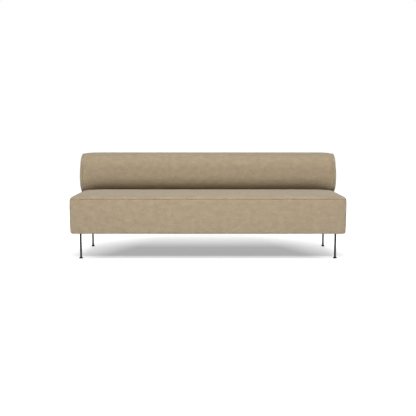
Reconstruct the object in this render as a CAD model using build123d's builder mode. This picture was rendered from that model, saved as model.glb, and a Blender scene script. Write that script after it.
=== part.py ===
"""Armless sofa: an upholstered box seat with a long round bolster back, on four thin steel legs.

All sizes are in millimetres. X runs along the sofa, Y from the front to the back and Z up. The origin is on
the floor, under the middle of the sofa. Left is the side of -X, on the left for someone who faces the sofa.
"""

import math
import os

from build123d import *

# ---------------------------------------------------------------- driving dimensions
# the seat box
SEAT_LENGTH = 2000.0
SEAT_DEPTH = 670.0
FLOOR_GAP = 190.0  # floor to the underside of the box
BOX_HEIGHT = 251.0  # underside of the box to the seam round its top panel
SIDE_BOW = 3.0  # how far the sides draw in at the seam and at the underside
BOTTOM_RADIUS = 10.0  # edge between the sides and the underside
CORNER_RADIUS = 26.0  # upright corners of the box
CORNER_CLEAR = 0.1  # the corner rounding passes this far outside the bowed sides, for a clean meeting
SHOULDER_RADIUS = 24.0  # roll of the top panel above the seam
SHOULDER_RISE = 24.0  # seam to the top of the roll
CROWN_RISE = 9.0  # further rise of the top panel to its middle
CROWN_RUN = 180.0  # how far in from each end the crown levels off
HEM_WIDTH = 25.0  # cover turned under the frame

# the bolster back
BACK_END_SETBACK = 21.0  # end seam in from the end of the seat
BACK_DEPTH = 245.0
BACK_HEIGHT = 292.0
BACK_FRONT_RADIUS = 112.0
BACK_REAR_RADIUS = 84.0
BACK_INSET = 3.0  # back of the bolster in from the back of the seat
END_BULGE = 37.0  # crown of each end panel
END_ROLL = 56.0  # degrees of roll from the seam to the flat of the end panel
END_BANDS = 4  # straight bands that make up the roll
END_DRAW = 9.0  # how far the seam draws the wrap in
END_DRAW_RUN = 70.0  # length over which it draws in

# layers
CLOTH = 1.5
PADDING = 8.0  # on the outside of the rails
FELT = 3.0
TOPPER = 44.0  # soft top layer at the middle of the seat
DUST_CLOTH = 1.0
DUST_INSET = 9.0  # edge of the dust cover in from the side of the seat
SOFT_GAP = 0.3  # between layers that lie on each other

# timber frame
RAIL_THICKNESS = 22.0
RAIL_HEIGHT = 118.0
CROSS_RAIL_HEIGHT = 84.0
CROSS_RAIL_SPOT = 330.0  # middle of the sofa to each cross rail
CORNER_BLOCK = 75.0
CORNER_BLOCK_HEIGHT = 60.0
DOWEL_RADIUS = 5.0
DOWEL_IN_FACE = 16.0  # depth of a dowel in the long rails
DOWEL_IN_END = 24.0  # depth of a dowel in the end of a short rail
DOWEL_SPACING = 50.0
FIT_GAP = 0.05  # play round dowels, screws and bolts

# webbing
STRAP_WIDTH = 60.0
STRAP_THICKNESS = 2.0
CROSS_STRAP_PITCH = 132.0
CROSS_STRAP_ROOM = 50.0  # least space between the last strap and the side rail
LONG_STRAP_COUNT = 3
LONG_STRAP_PITCH = 160.0
STRAP_HOLD = 18.0  # how far a strap lies on a rail
STRAP_LEVEL = 4.0  # a woven strap stays level this far past the strap that it crosses

# legs and glides
LEG_INSET = 65.0  # leg axis in from the seat's front, back and ends
LEG_RADIUS = 7.0
LEG_WALL = 2.0
WELD = 2.0
PLATE_SIZE = 58.0
PLATE_THICKNESS = 4.0
PLATE_CORNER = 6.0
SCREW_SPACING = 40.0
SCREW_RADIUS = 2.5
SCREW_HEAD_RADIUS = 4.8
SCREW_HEAD = 2.6
SCREW_LENGTH = 35.0
SCREW_POINT = 6.0
INSERT_LENGTH = 24.0
INSERT_FLANGE = 1.2
STEM_RADIUS = 3.0
STEM_LENGTH = 22.0
STEM_GAP = 0.06  # play between the stem and the insert that it screws into
GLIDE_RADIUS = 13.5
GLIDE_HEIGHT = 14.0
GLIDE_RIM = 2.5
PAD_THICKNESS = 1.6
PAD_RECESS = 0.8
PAD_RADIUS = 11.5

# steel bars that carry the back
BAR_WIDTH = 40.0
BAR_THICKNESS = 6.0
BAR_CORNER = 5.0
OUTER_STRAP_COUNT = 2  # straps between each outer bar and the end of the sofa
BAR_BOTTOM = 12.0  # end of the bar above the bottom of the rail
BAR_TOP = 26.0  # end of the bar below the top of the back board
SLOT_GAP = 1.0  # play round the bar in cloth and foam
BOLT_RADIUS = 4.0
BOLT_SPACING = 66.0
BOLT_END = 16.0  # outer bolt to the end of the bar
BOLT_SHORT = 3.0  # end of the bolt short of the far face
BOLT_HEAD_RADIUS = 7.0
BOLT_HEAD = 4.5
BOLT_SOCKET = 2.5
BOLT_SOCKET_DEPTH = 2.5
NUT_RADIUS = 5.2
NUT_LENGTH = 11.0
NUT_FLANGE_RADIUS = 10.0
NUT_FLANGE = 1.6

# timber inside the back
BOARD_THICKNESS = 15.0
BOARD_HEIGHT = 180.0
RIB_THICKNESS = 12.0
RIB_COVER = 34.0  # foam over the edge of each end rib
RIB_END_COVER = 12.0  # rib to the seam at the end
RIB_SCREW_LENGTH = 45.0
RIB_SCREW_SPACING = 110.0

# ---------------------------------------------------------------- derived sizes
seam_z = FLOOR_GAP + BOX_HEIGHT
lining = CLOTH + SOFT_GAP  # from the outside of a cover to the first layer inside it
frame_bottom = FLOOR_GAP + CLOTH
frame_top = frame_bottom + RAIL_HEIGHT
frame_half_x = SEAT_LENGTH / 2 - SIDE_BOW - lining - PADDING - SOFT_GAP
frame_half_y = SEAT_DEPTH / 2 - SIDE_BOW - lining - PADDING - SOFT_GAP
rail_inner_x = frame_half_x - RAIL_THICKNESS
rail_inner_y = frame_half_y - RAIL_THICKNESS
felt_bottom = frame_top + 2 * STRAP_THICKNESS + SOFT_GAP
foam_bottom = felt_bottom + FELT + SOFT_GAP
seat_top = seam_z + SHOULDER_RISE + CROWN_RISE
topper_bottom = seat_top - TOPPER

last_strap_x = rail_inner_x - CROSS_STRAP_ROOM - STRAP_WIDTH / 2
straps_each_side = int(last_strap_x / CROSS_STRAP_PITCH + 0.5)  # the middle falls between two straps
cross_straps = [CROSS_STRAP_PITCH * (n + 0.5) for n in range(-straps_each_side, straps_each_side)]
long_straps = [LONG_STRAP_PITCH * (n - (LONG_STRAP_COUNT - 1) / 2) for n in range(LONG_STRAP_COUNT)]

leg_x = SEAT_LENGTH / 2 - LEG_INSET
leg_y = SEAT_DEPTH / 2 - LEG_INSET
corners = {"front_left": (-1, -1), "front_right": (1, -1), "back_left": (-1, 1), "back_right": (1, 1)}
sides = {"left": -1, "right": 1}
plate_top = FLOOR_GAP - DUST_CLOTH
plate_bottom = plate_top - PLATE_THICKNESS
insert_bottom = GLIDE_HEIGHT + SOFT_GAP
tube_bottom = insert_bottom + INSERT_FLANGE

back_end_x = SEAT_LENGTH / 2 - BACK_END_SETBACK  # end seams of the bolster
back_y = SEAT_DEPTH / 2 - BACK_INSET - BACK_DEPTH / 2  # middle of the bolster's section
crown_half = SEAT_DEPTH / 2 - SIDE_BOW - SHOULDER_RADIUS
crown_radius = (crown_half**2 + CROWN_RISE**2) / (2 * CROWN_RISE)
contact_y = back_y - BACK_DEPTH / 2 + BACK_FRONT_RADIUS  # where the bolster meets the crown of the seat
back_bottom = seat_top - crown_radius + math.sqrt(crown_radius**2 - contact_y**2) + SOFT_GAP
back_z = back_bottom + BACK_HEIGHT / 2

bar_front_y = rail_inner_y - BAR_THICKNESS
board_front_y = bar_front_y - BOARD_THICKNESS
board_bottom = back_z - BOARD_HEIGHT / 2
outer_bar_x = CROSS_STRAP_PITCH * (straps_each_side - OUTER_STRAP_COUNT)
bar_spots = {"left": -outer_bar_x, "centre": 0.0, "right": outer_bar_x}
bar_low = frame_bottom + BAR_BOTTOM
bar_high = board_bottom + BOARD_HEIGHT - BAR_TOP
low_bolts = [(x, bar_low + BOLT_END + rise) for x in bar_spots.values() for rise in (0, BOLT_SPACING)]
high_bolts = [(x, bar_high - BOLT_END - drop) for x in bar_spots.values() for drop in (0, BOLT_SPACING)]
rib_outer_x = back_end_x - RIB_END_COVER
rib_inner_x = rib_outer_x - RIB_THICKNESS
board_middle_y = board_front_y + BOARD_THICKNESS / 2
rib_screws_yz = [(board_middle_y, back_z + rise) for rise in (-RIB_SCREW_SPACING / 2, RIB_SCREW_SPACING / 2)]


# ---------------------------------------------------------------- planes
def facing_front(y):
    """Upright plane at y, with X to the right and Z up on it. A positive extrusion runs to the front."""
    return Plane.XZ.offset(-y)


def facing_right(x):
    """Upright plane at x, with Y to the right and Z up on it. A positive extrusion runs to the right."""
    return Plane.YZ.offset(x)


# ---------------------------------------------------------------- the form of the seat
def box_outline(plane, half_length, inset, crown_run=None):
    """The seat seen along one axis: bowed sides, rolled shoulders and a crowned top, drawn in by inset."""
    half = half_length - inset
    seam_half = half - SIDE_BOW
    low = FLOOR_GAP + inset
    roll = SHOULDER_RADIUS - inset
    rise = SHOULDER_RISE - inset
    edge_x = seam_half - roll
    level_x = edge_x - crown_run if crown_run else 0
    crown_z = seam_z + rise + CROWN_RISE
    diagonal = math.sqrt(0.5)
    with BuildSketch(plane) as outline:
        with BuildLine():
            base = Line((0, low), (seam_half, low))
            side = ThreePointArc(base @ 1, (half, (low + seam_z) / 2), (seam_half, seam_z))
            ThreePointArc(
                side @ 1,
                (seam_half - roll * (1 - diagonal), seam_z + rise * diagonal),
                (edge_x, seam_z + rise),
            )
            TangentArc((level_x, crown_z), (edge_x, seam_z + rise), tangent=(1, 0))
            if crown_run:
                Line((0, crown_z), (level_x, crown_z))
            mirror(about=Plane.YZ)
        make_face()
        fillet(vertices().group_by(Axis.Y)[0], BOTTOM_RADIUS - inset)
    return outline.sketch


def seat_form(inset):
    """The whole upholstered box, drawn in on every side by inset."""
    with BuildPart() as form:
        extrude(box_outline(Plane.YZ, SEAT_DEPTH / 2, inset), amount=SEAT_LENGTH, both=True)
        lengthwise = box_outline(Plane.XZ, SEAT_LENGTH / 2, inset, CROWN_RUN)
        extrude(lengthwise, amount=SEAT_DEPTH, both=True, mode=Mode.INTERSECT)
        grow = CORNER_CLEAR - inset
        with BuildSketch(Plane.XY):
            RectangleRounded(SEAT_LENGTH + 2 * grow, SEAT_DEPTH + 2 * grow, CORNER_RADIUS + grow)
        extrude(amount=2 * seat_top, mode=Mode.INTERSECT)
    return form.part


# ---------------------------------------------------------------- the form of the bolster
def back_section(x, inset):
    """Upright section of the bolster at x, rounder in front than behind, drawn in all round by inset."""
    with BuildSketch(facing_right(x)) as section:
        with Locations((back_y, back_z)):
            Rectangle(BACK_DEPTH - 2 * inset, BACK_HEIGHT - 2 * inset)
        fillet(vertices().group_by(Axis.X)[0], BACK_FRONT_RADIUS - inset)
        fillet(vertices().group_by(Axis.X)[-1], BACK_REAR_RADIUS - inset)
    return section.sketch


def back_stations(inset):
    """Places along one half of the bolster: distance from its middle, and how far the section is drawn in."""
    stations = [(back_end_x - END_DRAW_RUN, 0.0), (back_end_x - END_DRAW_RUN / 2, END_DRAW / 4)]
    roll = math.radians(END_ROLL)
    half_height = BACK_HEIGHT / 2 - END_DRAW
    for band in range(END_BANDS + 1):
        angle = roll * band / END_BANDS
        bulge = END_BULGE * math.sin(angle) / math.sin(roll)
        stations.append((back_end_x - inset + bulge, END_DRAW + half_height * (1 - math.cos(angle))))
    return stations


def back_form(inset):
    """The whole bolster with its crowned ends, drawn in on every side by inset."""
    stations = back_stations(inset)
    left_to_right = [(-x, draw) for x, draw in reversed(stations)] + stations
    with BuildPart() as form:
        loft([back_section(x, inset + draw) for x, draw in left_to_right], ruled=True)
    return form.part


# ---------------------------------------------------------------- cuts that several pieces share
def cut_bar_slots(low, high):
    """Slots for the three steel bars through the piece in hand, from low to high."""
    with BuildSketch(Plane.XY.offset(low)) as slots:
        with Locations(*[(x, rail_inner_y - BAR_THICKNESS / 2) for x in bar_spots.values()]):
            Rectangle(BAR_WIDTH + 2 * SLOT_GAP, BAR_THICKNESS + 2 * SLOT_GAP)
    extrude(slots.sketch, amount=high - low, mode=Mode.SUBTRACT)


def cut_holes(plane, spots, radius, depth):
    """Round holes of one depth in the piece in hand, from a plane against its normal."""
    with BuildSketch(plane) as holes:
        with Locations(*spots):
            Circle(radius)
    extrude(holes.sketch, amount=-depth, mode=Mode.SUBTRACT)


def wood_screw(length):
    """Countersunk screw with its head at the origin, pointing up."""
    with BuildPart() as screw:
        with BuildSketch(Plane.XZ):
            with BuildLine():
                Polyline(
                    (0, 0),
                    (SCREW_HEAD_RADIUS, 0),
                    (SCREW_RADIUS, SCREW_HEAD),
                    (SCREW_RADIUS, length - SCREW_POINT),
                    (0, length),
                    close=True,
                )
            make_face()
        revolve(axis=Axis.Z)
    return screw.part


def hollow_screw_holes(length):
    """The room that a wood screw takes, with play all round it."""
    with BuildPart() as room:
        with BuildSketch(Plane.XZ):
            with BuildLine():
                Polyline(
                    (0, -SCREW_HEAD),
                    (SCREW_HEAD_RADIUS + FIT_GAP, -SCREW_HEAD),
                    (SCREW_HEAD_RADIUS + FIT_GAP, 0),
                    (SCREW_RADIUS + FIT_GAP, SCREW_HEAD),
                    (SCREW_RADIUS + FIT_GAP, length + FIT_GAP),
                    (0, length + FIT_GAP),
                    close=True,
                )
            make_face()
        revolve(axis=Axis.Z)
    return room.part


# ---------------------------------------------------------------- writing the pieces
os.makedirs("parts", exist_ok=True)


def write(piece, name):
    """Label a finished piece and write its file."""
    piece.part.label = name
    export_step(piece.part, f"parts/{name}.step")


# ---------------------------------------------------------------- timber frame of the seat
side_dowels = [
    (side * (frame_half_x - RAIL_THICKNESS / 2), frame_bottom + RAIL_HEIGHT / 2 + rise)
    for side in (-1, 1)
    for rise in (-DOWEL_SPACING / 2, DOWEL_SPACING / 2)
]
cross_dowels = [
    (side * CROSS_RAIL_SPOT, frame_bottom + CROSS_RAIL_HEIGHT / 2 + rise)
    for side in (-1, 1)
    for rise in (-DOWEL_SPACING / 2, DOWEL_SPACING / 2)
]
dowel_spots = side_dowels + cross_dowels


def long_rail(side):
    """Front or back rail, with holes in its inner face for the dowels of the side and cross rails."""
    face_plane = facing_front(side * rail_inner_y)
    with BuildPart() as rail:
        with BuildSketch(face_plane):
            with Locations((0, frame_bottom + RAIL_HEIGHT / 2)):
                Rectangle(2 * frame_half_x, RAIL_HEIGHT)
        extrude(amount=-side * RAIL_THICKNESS)
        with BuildSketch(face_plane):
            with Locations(*dowel_spots):
                Circle(DOWEL_RADIUS + FIT_GAP)
        extrude(amount=-side * (DOWEL_IN_FACE + FIT_GAP), mode=Mode.SUBTRACT)
    return rail.part


def short_rail(x, height, dowels):
    """Side or cross rail between the long rails, with dowel holes in both ends."""
    with BuildPart() as rail:
        with BuildSketch(Plane.XY.offset(frame_bottom)):
            with Locations((x, 0)):
                Rectangle(RAIL_THICKNESS, 2 * rail_inner_y)
        extrude(amount=height)
        for end in (-1, 1):
            with BuildSketch(facing_front(end * rail_inner_y)):
                with Locations(*[spot for spot in dowels if spot[0] * x > 0]):
                    Circle(DOWEL_RADIUS + FIT_GAP)
            extrude(amount=end * (DOWEL_IN_END + FIT_GAP), mode=Mode.SUBTRACT)
    return rail


with BuildPart() as seat_rail_front:
    add(long_rail(-1))
write(seat_rail_front, "seat_rail_front")

with BuildPart() as seat_rail_back:
    add(long_rail(1))
    cut_holes(facing_front(rail_inner_y), low_bolts, BOLT_RADIUS + FIT_GAP, RAIL_THICKNESS)
    cut_holes(facing_front(frame_half_y - NUT_LENGTH), low_bolts, NUT_RADIUS + FIT_GAP, NUT_LENGTH)
    cut_holes(facing_front(frame_half_y - NUT_FLANGE), low_bolts, NUT_FLANGE_RADIUS + FIT_GAP, NUT_FLANGE)
write(seat_rail_back, "seat_rail_back")

for side_name, side in sides.items():
    side_x = side * (frame_half_x - RAIL_THICKNESS / 2)
    write(short_rail(side_x, RAIL_HEIGHT, side_dowels), f"seat_rail_{side_name}")
    write(short_rail(side * CROSS_RAIL_SPOT, CROSS_RAIL_HEIGHT, cross_dowels), f"cross_rail_{side_name}")

with BuildPart() as frame_dowels:
    for end in (-1, 1):
        with BuildSketch(facing_front(end * (rail_inner_y + DOWEL_IN_FACE))):
            with Locations(*dowel_spots):
                Circle(DOWEL_RADIUS)
        extrude(amount=end * (DOWEL_IN_FACE + DOWEL_IN_END))
write(frame_dowels, "frame_dowels")

leg_screw = wood_screw(SCREW_LENGTH)
leg_screw_room = hollow_screw_holes(SCREW_LENGTH)


def leg_screw_spots(corner):
    """Middles of the four screws of one leg plate."""
    sx, sy = corner
    half = SCREW_SPACING / 2
    return [(sx * leg_x + dx, sy * leg_y + dy, plate_bottom) for dx in (-half, half) for dy in (-half, half)]


for corner_name, corner in corners.items():
    block_x = corner[0] * (rail_inner_x - CORNER_BLOCK / 2)
    block_y = corner[1] * (rail_inner_y - CORNER_BLOCK / 2)
    with BuildPart() as corner_block:
        with BuildSketch(Plane.XY.offset(FLOOR_GAP)):
            with Locations((block_x, block_y)):
                Rectangle(CORNER_BLOCK, CORNER_BLOCK)
        extrude(amount=CORNER_BLOCK_HEIGHT)
        with Locations(*leg_screw_spots(corner)):
            add(leg_screw_room, mode=Mode.SUBTRACT)
    write(corner_block, f"corner_block_{corner_name}")

# ---------------------------------------------------------------- webbing and felt
with BuildPart() as webbing_crosswise:
    with BuildSketch(Plane.XY.offset(frame_top)):
        with Locations(*[(x, 0) for x in cross_straps]):
            Rectangle(STRAP_WIDTH, 2 * (rail_inner_y + STRAP_HOLD))
    extrude(amount=STRAP_THICKNESS)
write(webbing_crosswise, "webbing_crosswise")


def woven_strap(y, first_over):
    """Strap along the sofa that passes over and under the crosswise straps in turn."""
    reach = STRAP_WIDTH / 2 + STRAP_LEVEL
    end_x = rail_inner_x + STRAP_HOLD
    under = [(-end_x, frame_top), (-rail_inner_x, frame_top)]
    for number, x in enumerate(cross_straps):
        over = (number % 2 == 0) == first_over
        level = frame_top + (STRAP_THICKNESS if over else -STRAP_THICKNESS)
        under += [(x - reach, level), (x + reach, level)]
    under += [(rail_inner_x, frame_top), (end_x, frame_top)]
    upper = [(x, z + STRAP_THICKNESS) for x, z in reversed(under)]
    with BuildPart() as strap:
        with BuildSketch(facing_front(y)):
            with BuildLine():
                Polyline(*under, *upper, close=True)
            make_face()
        extrude(amount=STRAP_WIDTH / 2, both=True)
    return strap.part


with BuildPart() as webbing_lengthwise:
    for number, y in enumerate(long_straps):
        add(woven_strap(y, number % 2 == 0))
write(webbing_lengthwise, "webbing_lengthwise")

with BuildPart() as webbing_felt:
    with BuildSketch(Plane.XY.offset(felt_bottom)):
        Rectangle(2 * frame_half_x, 2 * frame_half_y)
    extrude(amount=FELT)
    cut_bar_slots(felt_bottom, foam_bottom)
write(webbing_felt, "webbing_felt")

# ---------------------------------------------------------------- foam and covers of the seat
with BuildPart() as seat_foam:
    add(seat_form(lining))
    split(bisect_by=Plane.XY.offset(foam_bottom), keep=Keep.TOP)
    split(bisect_by=Plane.XY.offset(topper_bottom - SOFT_GAP), keep=Keep.BOTTOM)
    cut_bar_slots(foam_bottom, topper_bottom)
write(seat_foam, "seat_foam")

with BuildPart() as seat_topper:
    add(seat_form(lining))
    split(bisect_by=Plane.XY.offset(topper_bottom), keep=Keep.TOP)
    cut_bar_slots(topper_bottom, seat_top)
write(seat_topper, "seat_topper")

with BuildPart() as rail_padding:
    add(seat_form(lining))
    split(bisect_by=Plane.XY.offset(foam_bottom - SOFT_GAP), keep=Keep.BOTTOM)
    with BuildSketch(Plane.XY):
        Rectangle(2 * (frame_half_x + SOFT_GAP), 2 * (frame_half_y + SOFT_GAP))
    extrude(amount=foam_bottom, mode=Mode.SUBTRACT)
    with BuildSketch(Plane.XY):
        for side in (-1, 1):
            with Locations((0, side * (frame_half_y + SOFT_GAP))):
                Rectangle(2 * SEAT_LENGTH, SOFT_GAP)
    extrude(amount=foam_bottom, mode=Mode.SUBTRACT)
write(rail_padding, "rail_padding")

with BuildPart() as seat_cover_top:
    add(seat_form(0))
    add(seat_form(CLOTH), mode=Mode.SUBTRACT)
    split(bisect_by=Plane.XY.offset(seam_z), keep=Keep.TOP)
    cut_bar_slots(seam_z, seat_top)
write(seat_cover_top, "seat_cover_top")

with BuildPart() as seat_cover_boxing:
    add(seat_form(0))
    add(seat_form(CLOTH), mode=Mode.SUBTRACT)
    split(bisect_by=Plane.XY.offset(seam_z), keep=Keep.BOTTOM)
    with BuildSketch(Plane.XY.offset(FLOOR_GAP)):
        Rectangle(SEAT_LENGTH - 2 * HEM_WIDTH, SEAT_DEPTH - 2 * HEM_WIDTH)
    extrude(amount=CLOTH, mode=Mode.SUBTRACT)
write(seat_cover_boxing, "seat_cover_boxing")

with BuildPart() as dust_cover:
    with BuildSketch(Plane.XY.offset(plate_top)):
        dust_size = (SEAT_LENGTH - 2 * DUST_INSET, SEAT_DEPTH - 2 * DUST_INSET)
        RectangleRounded(*dust_size, CORNER_RADIUS - DUST_INSET)
    extrude(amount=DUST_CLOTH)
    for corner in corners.values():
        with Locations(*leg_screw_spots(corner)):
            add(leg_screw_room, mode=Mode.SUBTRACT)
write(dust_cover, "dust_cover")

# ---------------------------------------------------------------- legs and glides
with BuildPart() as leg_screws:
    for corner in corners.values():
        with Locations(*leg_screw_spots(corner)):
            add(leg_screw)
write(leg_screws, "leg_screws")

for corner_name, corner in corners.items():
    axis_spot = (corner[0] * leg_x, corner[1] * leg_y)
    with BuildPart() as leg:
        with BuildSketch(Plane.XY.offset(plate_bottom)):
            with Locations(axis_spot):
                RectangleRounded(PLATE_SIZE, PLATE_SIZE, PLATE_CORNER)
        extrude(amount=PLATE_THICKNESS)
        with BuildSketch(Plane.XY.offset(tube_bottom)):
            with Locations(axis_spot):
                Circle(LEG_RADIUS)
        extrude(amount=plate_bottom - tube_bottom)
        weld_edge = edges().filter_by(GeomType.CIRCLE).group_by(Axis.Z)[-1]
        fillet(weld_edge, WELD)
        with BuildSketch(Plane.XY.offset(tube_bottom)):
            with Locations(axis_spot):
                Circle(LEG_RADIUS - LEG_WALL)
        extrude(amount=plate_bottom - tube_bottom, mode=Mode.SUBTRACT)
        with Locations(*leg_screw_spots(corner)):
            add(leg_screw_room, mode=Mode.SUBTRACT)
    write(leg, f"leg_{corner_name}")

with BuildPart() as leg_inserts:
    leg_axes = [(sx * leg_x, sy * leg_y) for sx, sy in corners.values()]
    with BuildSketch(Plane.XY.offset(insert_bottom)):
        with Locations(*leg_axes):
            Circle(LEG_RADIUS)
    extrude(amount=INSERT_FLANGE)
    with BuildSketch(Plane.XY.offset(insert_bottom)):
        with Locations(*leg_axes):
            Circle(LEG_RADIUS - LEG_WALL - FIT_GAP)
    extrude(amount=INSERT_LENGTH)
    with BuildSketch(Plane.XY.offset(insert_bottom)):
        with Locations(*leg_axes):
            Circle(STEM_RADIUS + STEM_GAP)
    extrude(amount=INSERT_LENGTH, mode=Mode.SUBTRACT)
write(leg_inserts, "leg_inserts")

glide_bottom = PAD_THICKNESS - PAD_RECESS
with BuildPart() as glide_shape:
    with BuildSketch(Plane.XZ):
        with BuildLine():
            Polyline(
                (PAD_RADIUS + FIT_GAP, glide_bottom),
                (GLIDE_RADIUS, glide_bottom),
                (GLIDE_RADIUS, glide_bottom + GLIDE_RIM),
                (LEG_RADIUS, GLIDE_HEIGHT),
                (STEM_RADIUS, GLIDE_HEIGHT),
                (STEM_RADIUS, GLIDE_HEIGHT + STEM_LENGTH),
                (0, GLIDE_HEIGHT + STEM_LENGTH),
                (0, PAD_THICKNESS),
                (PAD_RADIUS + FIT_GAP, PAD_THICKNESS),
                close=True,
            )
        make_face()
    revolve(axis=Axis.Z)

for corner_name, corner in corners.items():
    axis_spot = (corner[0] * leg_x, corner[1] * leg_y)
    with BuildPart() as glide:
        with Locations(axis_spot):
            add(glide_shape.part)
    write(glide, f"glide_{corner_name}")
    with BuildPart() as glide_pad:
        with Locations(axis_spot):
            Cylinder(PAD_RADIUS, PAD_THICKNESS, align=(Align.CENTER, Align.CENTER, Align.MIN))
    write(glide_pad, f"glide_pad_{corner_name}")

# ---------------------------------------------------------------- steel bars, bolts and nuts
for bar_name, bar_x in bar_spots.items():
    with BuildPart() as back_bar:
        with BuildSketch(facing_front(bar_front_y)):
            with Locations((bar_x, (bar_low + bar_high) / 2)):
                RectangleRounded(BAR_WIDTH, bar_high - bar_low, BAR_CORNER)
        extrude(amount=-BAR_THICKNESS)
        own_bolts = [spot for spot in low_bolts + high_bolts if spot[0] == bar_x]
        cut_holes(facing_front(bar_front_y), own_bolts, BOLT_RADIUS + FIT_GAP, BAR_THICKNESS)
    write(back_bar, f"back_bar_{bar_name}")


def bolts(face_y, toward, spots, grip):
    """Button-head bolts: heads on the face at face_y, shanks away from it through a grip."""
    with BuildPart() as group:
        with BuildSketch(facing_front(face_y)):
            with Locations(*spots):
                Circle(BOLT_HEAD_RADIUS)
        extrude(amount=toward * BOLT_HEAD)
        rims = edges().filter_by(GeomType.CIRCLE).group_by(Axis.Y)[0 if toward > 0 else -1]
        chamfer(rims, BOLT_HEAD / 2)
        with BuildSketch(facing_front(face_y)):
            with Locations(*spots):
                Circle(BOLT_RADIUS)
        extrude(amount=-toward * (grip - BOLT_SHORT))
        with BuildSketch(facing_front(face_y - toward * BOLT_HEAD)):
            with Locations(*spots):
                RegularPolygon(BOLT_SOCKET, 6, major_radius=False)
        extrude(amount=-toward * BOLT_SOCKET_DEPTH, mode=Mode.SUBTRACT)
    return group.part


def tee_nuts(face_y, toward, spots):
    """Tee nuts let in flush with the face at face_y, their barrels running toward the front or back."""
    with BuildPart() as group:
        with BuildSketch(facing_front(face_y)):
            with Locations(*spots):
                Circle(NUT_FLANGE_RADIUS)
        extrude(amount=toward * NUT_FLANGE)
        with BuildSketch(facing_front(face_y)):
            with Locations(*spots):
                Circle(NUT_RADIUS)
        extrude(amount=toward * NUT_LENGTH)
        with BuildSketch(facing_front(face_y)):
            with Locations(*spots):
                Circle(BOLT_RADIUS + FIT_GAP)
        extrude(amount=toward * NUT_LENGTH, mode=Mode.SUBTRACT)
    return group.part


with BuildPart() as bar_bolts:
    add(bolts(bar_front_y, 1, low_bolts, BAR_THICKNESS + RAIL_THICKNESS))
    add(bolts(rail_inner_y, -1, high_bolts, BAR_THICKNESS + BOARD_THICKNESS))
write(bar_bolts, "bar_bolts")

with BuildPart() as bar_tee_nuts:
    add(tee_nuts(frame_half_y, 1, low_bolts))
    add(tee_nuts(board_front_y, -1, high_bolts))
write(bar_tee_nuts, "bar_tee_nuts")

# ---------------------------------------------------------------- timber inside the back
rib_screw = wood_screw(RIB_SCREW_LENGTH)
rib_screw_room = hollow_screw_holes(RIB_SCREW_LENGTH)


def rib_screw_places(side):
    """Where the screws of one rib start, at its outer face, and which way they point."""
    turn = (0, -90 * side, 0)
    return [Location((side * rib_outer_x, y, z), turn) for y, z in rib_screws_yz]


with BuildPart() as back_board:
    with BuildSketch(facing_front(board_front_y)):
        with Locations((0, back_z)):
            Rectangle(2 * rib_inner_x, BOARD_HEIGHT)
    extrude(amount=-BOARD_THICKNESS)
    cut_holes(facing_front(board_front_y), high_bolts, BOLT_RADIUS + FIT_GAP, BOARD_THICKNESS)
    cut_holes(facing_front(board_front_y), high_bolts, NUT_RADIUS + FIT_GAP, NUT_LENGTH)
    cut_holes(facing_front(board_front_y), high_bolts, NUT_FLANGE_RADIUS + FIT_GAP, NUT_FLANGE)
    for side in (-1, 1):
        with Locations(*rib_screw_places(side)):
            add(rib_screw_room, mode=Mode.SUBTRACT)
write(back_board, "back_board")

for side_name, side in sides.items():
    with BuildPart() as back_rib:
        extrude(back_section(side * rib_inner_x, RIB_COVER), amount=side * RIB_THICKNESS)
        with Locations(*rib_screw_places(side)):
            add(rib_screw_room, mode=Mode.SUBTRACT)
    write(back_rib, f"back_rib_{side_name}")

with BuildPart() as rib_screws:
    for side in (-1, 1):
        with Locations(*rib_screw_places(side)):
            add(rib_screw)
write(rib_screws, "rib_screws")

# ---------------------------------------------------------------- foam and covers of the back
foam_half_x = rib_outer_x  # the end pads start here


def cut_rib_rooms():
    """Room for the two end ribs in the foam in hand."""
    for side in (-1, 1):
        room = back_section(side * rib_inner_x, RIB_COVER - SOFT_GAP)
        extrude(room, amount=side * RIB_THICKNESS, mode=Mode.SUBTRACT)


with BuildPart() as back_foam_front:
    add(back_form(lining))
    split(bisect_by=facing_front(board_front_y), keep=Keep.TOP)
    split(bisect_by=facing_right(foam_half_x), keep=Keep.BOTTOM)
    split(bisect_by=facing_right(-foam_half_x), keep=Keep.TOP)
    cut_rib_rooms()
write(back_foam_front, "back_foam_front")

with BuildPart() as back_foam_rear:
    add(back_form(lining))
    split(bisect_by=facing_front(board_front_y + SOFT_GAP), keep=Keep.BOTTOM)
    split(bisect_by=facing_right(foam_half_x), keep=Keep.BOTTOM)
    split(bisect_by=facing_right(-foam_half_x), keep=Keep.TOP)
    cut_rib_rooms()
    with BuildSketch(facing_front(board_front_y)):
        with Locations((0, back_z)):
            Rectangle(2 * rib_inner_x, BOARD_HEIGHT + 2 * SOFT_GAP)
    extrude(amount=-BOARD_THICKNESS, mode=Mode.SUBTRACT)
    cut_bar_slots(back_bottom, bar_high + SLOT_GAP)
    cut_holes(facing_front(rail_inner_y), high_bolts, BOLT_HEAD_RADIUS + SLOT_GAP, BOLT_HEAD + SLOT_GAP)
write(back_foam_rear, "back_foam_rear")

for side_name, side in sides.items():
    with BuildPart() as back_end_pad:
        add(back_form(lining))
        end_plane = facing_right(side * (foam_half_x + SOFT_GAP))
        split(bisect_by=end_plane, keep=Keep.TOP if side > 0 else Keep.BOTTOM)
    write(back_end_pad, f"back_end_pad_{side_name}")

with BuildPart() as back_cover:
    add(back_form(0))
    add(back_form(CLOTH), mode=Mode.SUBTRACT)

with BuildPart() as back_cover_wrap:
    add(back_cover.part)
    split(bisect_by=facing_right(back_end_x), keep=Keep.BOTTOM)
    split(bisect_by=facing_right(-back_end_x), keep=Keep.TOP)
    cut_bar_slots(back_bottom, back_z)
write(back_cover_wrap, "back_cover_wrap")

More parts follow.
